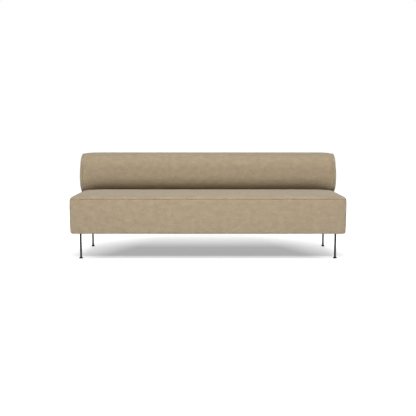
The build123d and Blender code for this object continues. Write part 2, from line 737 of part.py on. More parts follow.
for side_name, side in sides.items():
    with BuildPart() as back_cover_end:
        add(back_cover.part)
        split(bisect_by=facing_right(side * back_end_x), keep=Keep.TOP if side > 0 else Keep.BOTTOM)
    write(back_cover_end, f"back_cover_end_{side_name}")
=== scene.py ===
"""Armless sofa: the looks of the box seat, the bolster back and the four thin legs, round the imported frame.

Lengths are in metres. X runs along the sofa, Y from the front to the back and Z up, as in the frame.
"""

import math

import bpy
import numpy as np
from mathutils import Matrix, Vector
from mathutils.bvhtree import BVHTree


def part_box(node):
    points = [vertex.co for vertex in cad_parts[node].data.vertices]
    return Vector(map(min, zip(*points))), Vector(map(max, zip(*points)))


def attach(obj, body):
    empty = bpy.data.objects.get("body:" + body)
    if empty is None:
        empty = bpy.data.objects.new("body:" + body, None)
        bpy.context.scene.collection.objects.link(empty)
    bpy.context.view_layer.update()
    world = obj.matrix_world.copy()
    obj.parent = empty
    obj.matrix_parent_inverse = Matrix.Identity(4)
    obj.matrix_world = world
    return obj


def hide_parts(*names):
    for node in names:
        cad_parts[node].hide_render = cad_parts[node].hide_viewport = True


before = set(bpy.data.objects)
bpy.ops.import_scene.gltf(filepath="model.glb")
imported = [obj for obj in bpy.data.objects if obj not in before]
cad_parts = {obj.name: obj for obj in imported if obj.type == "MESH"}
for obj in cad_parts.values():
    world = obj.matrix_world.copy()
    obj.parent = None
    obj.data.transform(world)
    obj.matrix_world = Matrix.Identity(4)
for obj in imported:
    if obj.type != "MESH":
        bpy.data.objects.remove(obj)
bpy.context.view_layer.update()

MM = 0.001

# ---------------------------------------------------------------- camera of the photograph
IMAGE_SIZE = 416  # pixels, both ways
FOCAL_PIXELS = 694.5
SENSOR = 36.0
CAMERA_PLACE = (0.0, -5.318, 0.927)
CAMERA_PITCH = 6.27  # degrees below level

camera_data = bpy.data.cameras.new("camera")
camera_data.sensor_width = SENSOR
camera_data.lens = FOCAL_PIXELS / IMAGE_SIZE * SENSOR
camera = bpy.data.objects.new("camera", camera_data)
camera.location = CAMERA_PLACE
camera.rotation_euler = (math.radians(90.0 - CAMERA_PITCH), 0.0, 0.0)
bpy.context.scene.collection.objects.link(camera)
bpy.context.scene.camera = camera

# ---------------------------------------------------------------- sizes that the covers share
SEAT_LOW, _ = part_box("seat_cover_boxing")
SEAT_HALF_X, SEAT_HALF_Y = -SEAT_LOW.x, -SEAT_LOW.y
FLOOR_GAP = SEAT_LOW.z
SEAM_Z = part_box("seat_cover_top")[0].z
SEAT_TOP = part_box("seat_cover_top")[1].z
HEM_WIDTH = 25 * MM
BOTTOM_RADIUS = 6 * MM
CORNER_RADIUS = 26 * MM
SIDE_SWELL = 4.5 * MM  # the side band stands this far proud of the frame in the middle of its height
UPPER_BOW = 2.5 * MM  # how far it draws in from there to the seam
LOWER_BOW = 3 * MM  # and to its lower edge
SEAM_INSET = UPPER_BOW - SIDE_SWELL
CROWN_RISE = 9 * MM
CROWN_RUN = 180 * MM
SIDE_SHOULDER, FRONT_SHOULDER = 40 * MM, 30 * MM  # how far in the top panel's rolled edge reaches
SHOULDER_ROUND = 1.6  # 2 would make that edge a quarter of an ellipse
CORNER_SEAM_DEPTH = 1.8 * MM

WRAP_LOW, WRAP_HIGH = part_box("back_cover_wrap")
BACK_SEAM_X = WRAP_HIGH.x
BACK_MIDDLE_Y = (WRAP_LOW.y + WRAP_HIGH.y) / 2
BACK_MIDDLE_Z = (WRAP_LOW.z + WRAP_HIGH.z) / 2
BACK_HALF_Y = (WRAP_HIGH.y - WRAP_LOW.y) / 2
BACK_HALF_Z = (WRAP_HIGH.z - WRAP_LOW.z) / 2
BACK_FRONT_RADIUS = 112 * MM
BACK_REAR_RADIUS = 84 * MM
END_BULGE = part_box("back_cover_end_right")[1].x - BACK_SEAM_X - 6 * MM  # 6 mm flatter than the frame's
END_LEAN, LEAN_START, LEAN_RISE = 4 * MM, -30 * MM, 70 * MM  # the end seams lean in, above their middle
END_DRAW = 6 * MM  # how far the end seams draw the wrap in
END_DRAW_RUN = 30 * MM
END_FULLNESS = 5  # above 2 the end panels are squarer than an ellipse
END_DROP = 85 * MM  # the end panels are fullest this far below their middle
END_SAG = 28 * MM  # the ends of the bolster settle over the shoulder of the seat
CLOTH = 1.5 * MM
CLEAR = 1 * MM  # from the inside of a cover to the foam or wadding in it
STAPLE_PITCH = 45 * MM
SIDES = (("left", -1), ("right", 1))
CORNERS = ("front_left", "front_right", "back_left", "back_right")


# ---------------------------------------------------------------- small helpers
def deselect():
    bpy.ops.object.select_all(action="DESELECT")


def pick(piece):
    """Select one piece alone and make it the active one."""
    deselect()
    piece.select_set(True)
    bpy.context.view_layer.objects.active = piece


def finish_modifiers(piece):
    """Apply every modifier of a piece, from the first to the last."""
    pick(piece)
    for modifier in list(piece.modifiers):
        bpy.ops.object.modifier_apply(modifier=modifier.name)


def modify(piece, kind, **settings):
    """Add one modifier with its settings and apply it."""
    modifier = piece.modifiers.new(kind, kind)
    for key, value in settings.items():
        setattr(modifier, key, value)
    finish_modifiers(piece)


def new_object(name, data):
    """An object in the scene, with its mesh or lamp."""
    made = bpy.data.objects.new(name, data)
    bpy.context.scene.collection.objects.link(made)
    return made


def new_piece(name, points, faces, flat=None, edges=()):
    """A mesh piece from points, faces and edges. flat gives each point's place on the flat cloth."""
    mesh = bpy.data.meshes.new(name)
    mesh.from_pydata([tuple(p) for p in points], edges, [tuple(f) for f in faces])
    if flat is not None:
        layer = mesh.uv_layers.new(name="cloth")
        corner_points = np.empty(len(mesh.loops), np.int32)
        mesh.loops.foreach_get("vertex_index", corner_points)
        layer.data.foreach_set("uv", np.asarray(flat, np.float32)[corner_points].ravel())
    return new_object(name, mesh)


def primitive(add, **settings):
    """Add one of Blender's own forms, alone in the selection."""
    deselect()
    add(**settings)
    return bpy.context.active_object


def blank(middle, size):
    """A box to cut or shape further, its size and place in its own mesh."""
    box = primitive(bpy.ops.mesh.primitive_cube_add, size=1, location=middle, scale=size)
    bpy.ops.object.transform_apply(location=True, rotation=True, scale=True)
    return box


def smooth(piece, angle=None):
    pick(piece)
    if angle is None:
        bpy.ops.object.shade_smooth()
    else:
        bpy.ops.object.shade_smooth_by_angle(angle=math.radians(angle))


def dress(piece, material, slot, body, *nodes):
    """Give a finished piece its material and body, and let it stand for CAD nodes. slot is not used."""
    piece.data.materials.clear()
    piece.data.materials.append(material)
    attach(piece, body)
    if nodes:
        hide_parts(*nodes)


def dress_filling(piece, material, slot, node, angle):
    """Finish and dress a soft piece that lies inside the covers."""
    smooth(piece, angle)
    dress(piece, material, slot, "sofa", node)


def edit(piece, *steps):
    """Select all of one piece in edit mode and carry out the steps, each an operator with its settings."""
    pick(piece)
    bpy.ops.object.mode_set(mode="EDIT")
    bpy.ops.mesh.select_all(action="SELECT")
    for operator, settings in steps:
        operator(**settings)
    bpy.ops.object.mode_set(mode="OBJECT")


def choose_faces(piece, chosen):
    """Select the faces whose middle and normal pass a test, and nothing else, and stay in edit mode."""
    pick(piece)
    bpy.ops.object.mode_set(mode="EDIT")
    bpy.ops.mesh.select_all(action="DESELECT")
    bpy.ops.mesh.select_mode(type="FACE")
    bpy.ops.object.mode_set(mode="OBJECT")
    for face in piece.data.polygons:
        face.select = chosen(face.center, face.normal)
    bpy.ops.object.mode_set(mode="EDIT")


MERGE = (bpy.ops.mesh.remove_doubles, {"threshold": 0.01 * MM})
TURN_OUT = (bpy.ops.mesh.normals_make_consistent, {"inside": False})


def turned(name, profile, steps):
    """A round piece about the Z axis, spun from a profile of (radius, height) points in mm."""
    points = [(r * MM, 0, z * MM) for r, z in profile]
    piece = new_piece(name, points, [], edges=[(n, n + 1) for n in range(len(profile) - 1)])
    spin = {"steps": steps, "angle": math.tau, "center": (0, 0, 0), "axis": (0, 0, 1)}
    edit(piece, (bpy.ops.mesh.spin, spin))
    edit(piece, MERGE, TURN_OUT)
    return piece


def screw_thread(name, root, crest, pitch, low, high, steps):
    """The flank surface of a screw thread about the Z axis from low to high, closed at both ends."""
    turns = round((high - low) / pitch)
    start = high - turns * pitch
    flanks = [(root, 0, start), (crest, 0, start + pitch / 2), (root, 0, start + pitch)]
    piece = new_piece(name, flanks, [], edges=[(0, 1), (1, 2)])
    winding = {"screw_offset": pitch, "iterations": turns - 1, "steps": steps, "render_steps": steps}
    modify(piece, "SCREW", axis="Z", angle=math.tau, **winding)
    edit(piece, MERGE, (bpy.ops.mesh.fill_holes, {"sides": 0}), TURN_OUT)
    return piece


def join(name, *pieces):
    deselect()
    for piece in pieces:
        piece.select_set(True)
    bpy.context.view_layer.objects.active = pieces[0]
    bpy.ops.object.join()
    pieces[0].name = name
    return pieces[0]


def repeat(name, model, places):
    """Copies of a model, one at each place, a 4 by 4 matrix, joined into one piece. The model is used up."""
    copies = []
    for place in places:
        copy = new_object(name, model.data.copy())
        copy.data.transform(place)
        copies.append(copy)
    bpy.data.objects.remove(model)
    return join(name, *copies)


def cut_away(piece, cutter):
    """Cut one piece with another, which is used up."""
    modify(piece, "BOOLEAN", operation="DIFFERENCE", object=cutter)
    bpy.data.objects.remove(cutter)


def read_rows(collection, key):
    """A number triple of every item of a mesh, such as its points' places, one to a row."""
    values = np.empty(len(collection) * 3)
    collection.foreach_get(key, values)
    return values.reshape(-1, 3)


def mesh_points(piece):
    return read_rows(piece.data.vertices, "co")


def mesh_normals(piece):
    return read_rows(piece.data.vertex_normals, "vector")


def set_points(piece, points):
    piece.data.vertices.foreach_set("co", points.ravel())
    piece.data.update()


# ---------------------------------------------------------------- node helpers
class Nodes:
    """Short ways to add and join the nodes of one tree."""

    def __init__(self, tree):
        self.tree = tree

    def add(self, kind, **settings):
        node = self.tree.nodes.new(kind)
        for key, value in settings.items():
            setattr(node, key, value)
        return node

    def feed(self, socket, value):
        if isinstance(value, bpy.types.NodeSocket):
            self.tree.links.new(value, socket)
        else:
            socket.default_value = value

    def fed(self, kind, values, **settings):
        """A node whose inputs are fed in order, or by name from a dictionary."""
        node = self.add(kind, **settings)
        given = values.items() if isinstance(values, dict) else enumerate(values)
        for key, value in given:
            self.feed(node.inputs[key], value)
        return node

    def math(self, operation, *values):
        return self.fed("ShaderNodeMath", values, operation=operation).outputs[0]

    def times(self, first, second):
        return self.math("MULTIPLY", first, second)

    def plus(self, first, second):
        return self.math("ADD", first, second)

    def minus(self, first, second):
        return self.math("SUBTRACT", first, second)

    def vector(self, operation, first, second):
        return self.fed("ShaderNodeVectorMath", (first, second), operation=operation).outputs[0]

    def combine(self, x, y, z=0.0):
        return self.fed("ShaderNodeCombineXYZ", (x, y, z)).outputs[0]

    def split(self, vector):
        return self.fed("ShaderNodeSeparateXYZ", (vector,)).outputs

    def noise(self, place, scale, detail=2.0, roughness=0.5):
        given = {"Vector": place, "Scale": scale, "Detail": detail, "Roughness": roughness}
        return self.fed("ShaderNodeTexNoise", given).outputs[0]

    def spread(self, value, low, high, to_low, to_high):
        """value from low..high to to_low..to_high, held at both ends."""
        return self.fed("ShaderNodeMapRange", (value, low, high, to_low, to_high)).outputs[0]

    def multiply(self, colour, value):
        given = {"Factor": 1.0, "A": colour, "B": value}
        return self.fed("ShaderNodeMix", given, data_type="RGBA", blend_type="MULTIPLY").outputs["Result"]

    def mix(self, factor, first, second):
        given = {"Factor": factor, "A": first, "B": second}
        return self.fed("ShaderNodeMix", given, data_type="RGBA").outputs["Result"]

    def bump(self, height, distance, strength=1.0):
        given = {"Height": height, "Distance": distance, "Strength": strength}
        return self.fed("ShaderNodeBump", given).outputs[0]

    def group(self, tree, **values):
        return self.fed("ShaderNodeGroup", values, node_tree=tree).outputs

    def object_place(self):
        return self.add("ShaderNodeTexCoord").outputs["Object"]

    def seen(self):
        """1 for what the camera sees, also in a gloss or through glass, and 0 for light on its way."""
        rays = self.add("ShaderNodeLightPath").outputs
        indirect = self.math("MAXIMUM", rays["Is Glossy Ray"], rays["Is Transmission Ray"])
        return self.math("MAXIMUM", rays["Is Camera Ray"], indirect)


def srgb(red, green, blue):
    """A colour written as it looks on a screen, from 0 to 255, as the shader's own linear numbers."""

    def linear(value):
        value /= 255
        return value / 12.92 if value <= 0.04045 else ((value + 0.055) / 1.055) ** 2.4

    return (linear(red), linear(green), linear(blue), 1.0)


def node_group(name, inputs, outputs):
    """A shader node group that takes a place and named numbers, each with its value, and puts out numbers."""
    tree = bpy.data.node_groups.new(name, "ShaderNodeTree")
    tree.interface.new_socket("Place", in_out="INPUT", socket_type="NodeSocketVector")
    for socket_name, value in inputs.items():
        socket = tree.interface.new_socket(socket_name, in_out="INPUT", socket_type="NodeSocketFloat")
        socket.default_value = value
    for socket_name in outputs:
        tree.interface.new_socket(socket_name, in_out="OUTPUT", socket_type="NodeSocketFloat")
    nodes = Nodes(tree)
    return nodes, nodes.add("NodeGroupInput").outputs, nodes.add("NodeGroupOutput").inputs


# ---------------------------------------------------------------- shared effects
def make_weave():
    """Plain weave of slubby threads that lie along both axes of the flat cloth."""
    n, given, out = node_group("weave", {"Thread": 2 * MM, "Slub": 0.5}, ("Height", "Yarn", "Slubs"))
    counted = n.vector("DIVIDE", given["Place"], n.combine(given["Thread"], given["Thread"], 1.0))
    across, along = n.split(counted)[:2]
    warp, weft = n.math("FLOOR", across), n.math("FLOOR", along)
    weft_on_top = n.math("FLOORED_MODULO", n.plus(warp, weft), 2.0)
    warp_round, weft_round = (n.math("SINE", n.times(n.math("FRACT", at), math.pi)) for at in (across, along))
    rise = n.times(n.times(warp_round, weft_round), 0.55)

    def streaks(x, y, x_scale, y_scale, shift):
        return n.noise(n.combine(n.times(x, x_scale), n.times(y, y_scale), shift), 1.0)

    def upper(of_warp, of_weft):
        return n.math("MULTIPLY_ADD", weft_on_top, n.minus(of_weft, of_warp), of_warp)

    warp_height, weft_height = (n.math("MULTIPLY_ADD", bend, 0.45, rise) for bend in (warp_round, weft_round))
    slub = upper(streaks(warp, along, 7.31, 0.13, 0.0), streaks(across, weft, 0.13, 7.31, 9.0))
    swelling = n.times(n.minus(slub, 0.5), given["Slub"])
    n.feed(out["Height"], n.plus(upper(warp_height, weft_height), swelling))
    fibres = upper(streaks(across, along, 3.1, 0.6, 4.0), streaks(across, along, 0.6, 3.1, 7.0))
    n.feed(out["Yarn"], fibres)
    n.feed(out["Slubs"], slub)
    return n.tree


def make_grain():
    """Wood with its growth rings and fibres along X."""
    n, given, out = node_group("grain", {"Ring": 7 * MM}, ("Ring", "Fibre"))
    _, y, z = n.split(given["Place"])
    bend = n.noise(n.vector("MULTIPLY", given["Place"], (1.2, 4.0, 4.0)), 1.0)
    from_y = n.math("POWER", n.plus(y, 0.11), 2.0)  # the heart of the tree lies beside the board
    from_z = n.math("POWER", n.plus(z, 0.07), 2.0)
    radius = n.math("MULTIPLY_ADD", bend, 0.045, n.math("SQRT", n.plus(from_y, from_z)))
    n.feed(out["Ring"], n.math("POWER", n.math("FRACT", n.math("DIVIDE", radius, given["Ring"])), 2.5))
    n.feed(out["Fibre"], n.noise(n.vector("MULTIPLY", given["Place"], (9.0, 900.0, 900.0)), 1.0, 3.0))
    return n.tree


def make_mottle():
    """Soft patches with fine specks in them."""
    n, given, out = node_group("mottle", {"Patch": 20.0, "Speck": 800.0}, ("Patches", "Specks", "Both"))
    patches = n.noise(given["Place"], given["Patch"], 3.0)
    specks = n.noise(given["Place"], given["Speck"], 2.0, 0.6)
    n.feed(out["Patches"], patches)
    n.feed(out["Specks"], specks)
    n.feed(out["Both"], n.math("MULTIPLY_ADD", patches, 0.6, n.times(specks, 0.4)))
    return n.tree


WEAVE = make_weave()
GRAIN = make_grain()
MOTTLE = make_mottle()


def new_material(name):
    """A material, its nodes and its shader."""
    material = bpy.data.materials.new(name)
    material.use_nodes = True
    return material, Nodes(material.node_tree), material.node_tree.nodes["Principled BSDF"]


def finish(n, shader, colour, roughness, relief, depth, strength=1.0):
    """Feed a material's shader with its colour, its roughness and a relief that is depth deep."""
    n.feed(shader.inputs["Base Color"], colour)
    n.feed(shader.inputs["Roughness"], roughness)
    n.feed(shader.inputs["Normal"], n.bump(relief, depth, strength))


# ---------------------------------------------------------------- materials
def cover_cloth():
    """Beige melange upholstery cloth, matt, with slubs along both threads."""
    material, n, shader = new_material("cover_cloth")
    flat = n.add("ShaderNodeUVMap", uv_map="cloth").outputs[0]
    weave = n.group(WEAVE, Place=flat, Thread=1.9 * MM, Slub=0.4)
    patches = n.noise(n.vector("MULTIPLY", flat, (20.0, 26.0, 1.0)), 1.0, 4.0, 0.75)
    yarn_and_slub = n.math("MULTIPLY_ADD", weave["Yarn"], 0.39, n.times(weave["Slubs"], 0.24))
    tone = n.math("MULTIPLY_ADD", patches, 0.37, yarn_and_slub)
    dark_side = n.mix(n.spread(tone, 0.36, 0.5, 0.0, 1.0), srgb(135, 119, 95), srgb(151, 135, 110))
    colour = n.mix(n.spread(tone, 0.5, 0.64, 0.0, 1.0), dark_side, srgb(168, 153, 129))
    # painted shade: the cloth's colour is darker down in the gaps between the threads
    painted_gap_shade = n.spread(weave["Height"], 0.0, 0.45, 0.86, 1.0)
    rough = n.spread(weave["Height"], 0.0, 1.0, 0.98, 0.86)
    finish(n, shader, n.multiply(colour, painted_gap_shade), rough, weave["Height"], 0.5 * MM, 0.6)
    shader.inputs["Specular IOR Level"].default_value = 0.25
    shader.inputs["Sheen Weight"].default_value = 0.5
    shader.inputs["Sheen Roughness"].default_value = 0.55
    shader.inputs["Sheen Tint"].default_value = (1.0, 0.95, 0.88, 1.0)
    return material


def sewing_thread():
    """Polyester sewing thread with its twist."""
    material, n, shader = new_material("sewing_thread")
    twist = n.noise(n.object_place(), 2200.0, 1.0)
    colour = n.mix(twist, srgb(140, 121, 94), srgb(166, 147, 119))
    finish(n, shader, colour, n.spread(twist, 0.3, 0.7, 0.5, 0.7), twist, 0.1 * MM)
    return material


def powder_coat(name, dark, light, rough):
    """Black coat with a fine orange-peel texture."""
    material, n, shader = new_material(name)
    coat = n.group(MOTTLE, Place=n.object_place(), Patch=60.0, Speck=900.0)
    roughness = n.spread(coat["Specks"], 0.3, 0.7, rough - 0.08, rough + 0.08)
    finish(n, shader, n.mix(coat["Patches"], dark, light), roughness, coat["Specks"], 0.1 * MM, 0.5)
    shader.inputs["Specular IOR Level"].default_value = 0.1
    return material


def zinc():
    """Bright zinc plating with a cloudy, faintly yellow passivation."""
    material, n, shader = new_material("zinc_plating")
    cloud = n.group(MOTTLE, Place=n.object_place(), Patch=120.0, Speck=1500.0)
    colour = n.mix(cloud["Both"], srgb(190, 190, 184), srgb(222, 220, 208))
    finish(n, shader, colour, n.spread(cloud["Both"], 0.3, 0.7, 0.28, 0.46), cloud["Specks"], 0.05 * MM)
    shader.inputs["Metallic"].default_value = 1.0
    return material


def timber(name, along, ring, dark, light):
    """Planed wood whose grain runs along one axis. along gives that axis first, then the other two."""
    material, n, shader = new_material(name)
    axes = n.split(n.object_place())
    place = n.combine(*[axes["XYZ".index(axis)] for axis in along])
    grain = n.group(GRAIN, Place=place, Ring=ring)
    late = n.math("MULTIPLY_ADD", grain["Fibre"], 0.35, n.times(grain["Ring"], 0.65))
    rough = n.spread(grain["Fibre"], 0.3, 0.7, 0.62, 0.8)
    finish(n, shader, n.mix(late, light, dark), rough, grain["Fibre"], 0.15 * MM, 0.4)
    return material


def plywood(name, across):
    """Birch plywood whose veneers are stacked along one axis."""
    material, n, shader = new_material(name)
    place = n.object_place()
    stack = n.math("DIVIDE", n.split(place)["XYZ".index(across)], 1.5 * MM)
    crossed = n.math("FLOORED_MODULO", n.math("FLOOR", stack), 2.0)
    from_middle = n.math("ABSOLUTE", n.minus(n.math("FRACT", stack), 0.5))
    glue_line = n.spread(from_middle, 0.44, 0.5, 0.0, 1.0)
    face = n.group(GRAIN, Place=place, Ring=24 * MM)
    veneer = n.math("MULTIPLY_ADD", crossed, 0.35, n.times(face["Fibre"], 0.65))
    wood = n.mix(veneer, srgb(222, 196, 158), srgb(186, 150, 108))
    colour = n.mix(n.times(glue_line, 0.6), wood, srgb(112, 78, 50))
    finish(n, shader, colour, n.spread(face["Fibre"], 0.3, 0.7, 0.6, 0.78), face["Fibre"], 0.12 * MM, 0.4)
    return material


def cells(name, dark, light, size, depth):
    """Open-cell foam, or wadding: pores between soft lumps."""
    material, n, shader = new_material(name)
    place = n.object_place()
    given = {"Vector": place, "Scale": 1 / size}
    pores = n.fed("ShaderNodeTexVoronoi", given, feature="DISTANCE_TO_EDGE")
    lumps = n.group(MOTTLE, Place=place, Patch=9.0, Speck=300.0)
    wall_height_and_pore_shade = n.spread(pores.outputs["Distance"], 0.0, 0.25, 0.0, 1.0)
    # the lumps' tone is random; the pores between them are painted darker, as painted shade
    colour = n.mix(n.times(lumps["Both"], wall_height_and_pore_shade), dark, light)
    finish(n, shader, colour, n.spread(wall_height_and_pore_shade, 0.0, 1.0, 1.0, 0.85), wall_height_and_pore_shade, depth)
    shader.inputs["Specular IOR Level"].default_value = 0.2
    return material


def felt():
    """Grey needle felt of mixed fibres."""
    material, n, shader = new_material("needle_felt")
    place = n.object_place()
    fibres = n.noise(n.vector("MULTIPLY", place, (900.0, 160.0, 400.0)), 1.0, 3.0)
    odd = n.group(MOTTLE, Place=place, Patch=500.0, Speck=1300.0)
    grey = n.mix(fibres, srgb(104, 102, 98), srgb(166, 164, 158))
    colour = n.mix(n.spread(odd["Patches"], 0.62, 0.68, 0.0, 0.7), grey, srgb(70, 88, 128))
    finish(n, shader, colour, n.spread(fibres, 0.3, 0.7, 0.9, 1.0), fibres, 0.4 * MM)
    return material


def webbing():
    """Brown elastic webbing: ribs of covered rubber, woven across with yarn."""
    material, n, shader = new_material("elastic_webbing")
    weave = n.group(WEAVE, Place=n.object_place(), Thread=2.4 * MM, Slub=0.15)
    yarn = n.mix(weave["Yarn"], srgb(120, 92, 62), srgb(164, 136, 100))
    # painted shade: the webbing's colour is darker down between its threads, where the weave is low
    colour = n.multiply(yarn, n.spread(weave["Height"], 0.0, 0.5, 0.6, 1.0))
    finish(n, shader, colour, n.spread(weave["Height"], 0.0, 1.0, 0.95, 0.75), weave["Height"], 0.4 * MM)
    return material


def dust_cloth():
    """Thin black non-woven cloth, spot-bonded in rows."""
    material, n, shader = new_material("dust_cloth")
    place = n.object_place()
    x, y, _ = n.split(n.vector("DIVIDE", place, (2.2 * MM, 1.6 * MM, 1.0)))
    odd_row = n.math("FLOORED_MODULO", n.math("FLOOR", y), 2.0)
    shifted = n.plus(x, n.times(odd_row, 0.5))
    from_spot_x, from_spot_y = (n.minus(n.math("FRACT", at), 0.5) for at in (shifted, y))
    far = n.plus(n.math("POWER", from_spot_x, 2.0), n.math("POWER", from_spot_y, 2.0))
    spot = n.spread(far, 0.03, 0.09, 0.0, 1.0)
    fibres = n.noise(place, 1400.0, 3.0)
    colour = n.mix(n.times(fibres, spot), srgb(30, 30, 31), srgb(58, 58, 60))
    finish(n, shader, colour, n.spread(spot, 0.0, 1.0, 0.55, 0.85), spot, 0.15 * MM)
    return material


def moulded(name, dark, light):
    """Moulded plastic with a fine spark-eroded skin."""
    material, n, shader = new_material(name)
    skin = n.group(MOTTLE, Place=n.object_place(), Patch=90.0, Speck=1800.0)
    rough = n.spread(skin["Specks"], 0.3, 0.7, 0.48, 0.64)
    finish(n, shader, n.mix(skin["Both"], dark, light), rough, skin["Specks"], 0.04 * MM)
    return material


PINE = (srgb(186, 132, 78), srgb(232, 206, 160))
CLOTH_MATERIAL = cover_cloth()
BLACK_COAT = powder_coat("black_powder_coat", srgb(8, 8, 9), srgb(14, 14, 15), 0.7)
BLACK_OXIDE = powder_coat("black_oxide", srgb(24, 24, 26), srgb(40, 40, 42), 0.38)
ZINC = zinc()
PINE_ALONG_X = timber("pine_lengthwise", "XYZ", 7 * MM, *PINE)
PINE_ALONG_Y = timber("pine_crosswise", "YXZ", 7 * MM, *PINE)
PINE_UPRIGHT = timber("pine_upright", "ZXY", 6 * MM, *PINE)
BEECH = timber("beech", "YXZ", 3 * MM, srgb(182, 134, 96), srgb(214, 176, 136))
FOAM = cells("foam", srgb(206, 192, 158), srgb(246, 238, 214), 1.6 * MM, 0.6 * MM)
SOFT_FOAM = cells("soft_foam", srgb(214, 208, 196), srgb(250, 248, 240), 1.1 * MM, 0.5 * MM)
WADDING = cells("wadding", srgb(214, 214, 212), srgb(250, 250, 248), 6 * MM, 1.5 * MM)
NYLON = moulded("black_nylon", srgb(24, 24, 25), srgb(38, 38, 39))
SLIP_PAD = moulded("slip_pad", srgb(58, 58, 58), srgb(84, 84, 83))
THREAD = sewing_thread()
PLYWOOD_BOARD = plywood("plywood_board", "Y")
PLYWOOD_RIB = plywood("plywood_rib", "X")
FELT = felt()
WEBBING = webbing()
DUST_CLOTH = dust_cloth()


# ---------------------------------------------------------------- grids for the covers
def strip_faces(count, length):
    """Quads between neighbouring closed rings, count rings of length points each."""
    faces = []
    for low in range(0, (count - 1) * length, length):
        high = low + length
        for step in range(length):
            following = (step + 1) % length
            faces.append((low + step, low + following, high + following, high + step))
    return faces


def patch_points(ring, count_a, count_b):
    """The inner points of a grid, count_a by count_b steps, that fills a closed ring."""
    bottom = ring[: count_a + 1]
    right = ring[count_a : count_a + count_b + 1]
    top = ring[count_a + count_b : 2 * count_a + count_b + 1][::-1]
    left = np.vstack([ring[2 * count_a + count_b :], ring[:1]])[::-1]
    a = np.linspace(0, 1, count_a + 1)[None, :, None]
    b = np.linspace(0, 1, count_b + 1)[:, None, None]
    sides = (1 - b) * bottom[None] + b * top[None] + (1 - a) * left[:, None] + a * right[:, None]
    corners = (
        (1 - a) * (1 - b) * bottom[0] + a * (1 - b) * bottom[-1] + (1 - a) * b * top[0] + a * b * top[-1]
    )
    return (sides - corners)[1:-1, 1:-1].reshape(-1, 3)


def patch_faces(count_a, count_b, ring_start, inner_start):
    """Quads of the grid whose rim is the ring at ring_start and whose inner points start at inner_start."""
    total = 2 * (count_a + count_b)

    def index(a, b):
        if b == 0:
            return ring_start + a
        if a == count_a:
            return ring_start + count_a + b
        if b == count_b:
            return ring_start + (2 * count_a + count_b - a) % total
        if a == 0:
            return ring_start + (total - b) % total
        return inner_start + (b - 1) * (count_a - 1) + a - 1

    return [
        (index(a, b), index(a + 1, b), index(a + 1, b + 1), index(a, b + 1))
        for b in range(count_b)
        for a in range(count_a)
    ]


def fill_last(rings, steps):
    """Inner points that fill the last of several rings with a grid, and the faces of all of them."""
    length = len(rings[0])
    faces = strip_faces(len(rings), length)
    faces += patch_faces(*steps, (len(rings) - 1) * length, len(rings) * length)
    return patch_points(rings[-1], *steps), faces


def at_height(ring, z):
    """Points of a ring seen from above at one height, or each at its own."""
    return np.column_stack([ring, np.full(len(ring), z)])


def run_along(points):
    """Distance along a line from its first point to each of its points."""
    return np.concatenate([[0], np.cumsum(np.linalg.norm(np.diff(points, axis=0), axis=1))])


def round_loop(loop):
    """Length of a closed loop, and a function from a distance along it to the point there and one 2 mm on."""
    loop = np.vstack([loop, loop[:1]])
    run = run_along(loop)

    def two_points(at):
        return [np.array([np.interp(there, run, column) for column in loop.T]) for there in (at, at + 2 * MM)]

    return run[-1], two_points


# ---------------------------------------------------------------- seat cover
SEAT_STEPS = (134, 44)  # of a ring round the seat, along X and along Y
SEAT_CORNERS = np.cumsum((0, *SEAT_STEPS, SEAT_STEPS[0]))  # numbers of its four corners
CORNER_SHARES = (0.0, 0.08, 0.2, 0.42, 0.7)  # from a corner's middle, where its seam is, to its straight side
# the cloth is tucked in at the seam: mm in from the side, and mm from the seam
SEAM_TUCK = ((9, 0.1), (4.2, 0.2), (2.2, 0.9), (0.9, 2.1), (0.2, 3.9))
INNER_INSET = 80 * MM
SHOULDER_TOP = SEAT_TOP - CROWN_RISE
SHOULDER_SHARES = (0.04, 0.1, 0.18, 0.28, 0.4, 0.54, 0.7, 0.85, 1.0)
SHOULDER = np.array([SIDE_SHOULDER, FRONT_SHOULDER])


def seat_ring(inset, corner=CORNER_RADIUS, squareness=0.0):
    """Points round the seat seen from above, drawn in by inset, from the front left corner towards the right.
    inset may be a pair, along X and Y. corner is the size of the corner region. squareness goes from 0,
    round, to 1, square."""
    half = np.array([SEAT_HALF_X, SEAT_HALF_Y]) - inset
    corner_steps = len(CORNER_SHARES)
    points = []
    for steps, along, outward in zip(
        SEAT_STEPS * 2,
        np.array([(1, 0), (0, 1), (-1, 0), (0, -1)]),
        np.array([(0, -1), (1, 0), (0, 1), (-1, 0)]),
    ):
        reach, out = abs(half @ along), abs(half @ outward)
        for step in range(steps):
            edge_steps = min(step, steps - step)
            if edge_steps >= corner_steps:
                straight = (step - corner_steps) / (steps - 2 * corner_steps) * 2 - 1
                points.append(along * straight * (reach - corner) + outward * out)
                continue
            share = CORNER_SHARES[edge_steps]
            angle = math.radians(45) * (1 - share)
            toward = 1 if step > steps / 2 else -1
            round_point = along * toward * (reach - corner * (1 - math.sin(angle)))
            round_point = round_point + outward * (out - corner * (1 - math.cos(angle)))
            square_point = along * toward * (reach - corner * share) + outward * out
            points.append(round_point * (1 - squareness) + square_point * squareness)
    return np.array(points)


SQUARE_RING = seat_ring(INNER_INSET, squareness=1.0)
SEAT_RING_LENGTH = len(SQUARE_RING)


def side_inset(z):
    """How far the side band is inside the box of the frame at height z."""
    up = (z - (SEAM_Z + FLOOR_GAP) / 2) / ((SEAM_Z - FLOOR_GAP) / 2)
    return (UPPER_BOW if up > 0 else LOWER_BOW) * up**2 - SIDE_SWELL


def crown(points):
    """Height of the seat's top panel above its rolled shoulder."""
    beyond = np.clip((np.abs(points[:, 0]) - (SEAT_HALF_X - SEAM_INSET - CROWN_RUN)) / CROWN_RUN, 0, 1)
    across = np.clip(np.abs(points[:, 1]) / (SEAT_HALF_Y - SEAM_INSET), 0, 1)
    return CROWN_RISE * (1 - beyond**2) * (1 - across**3)


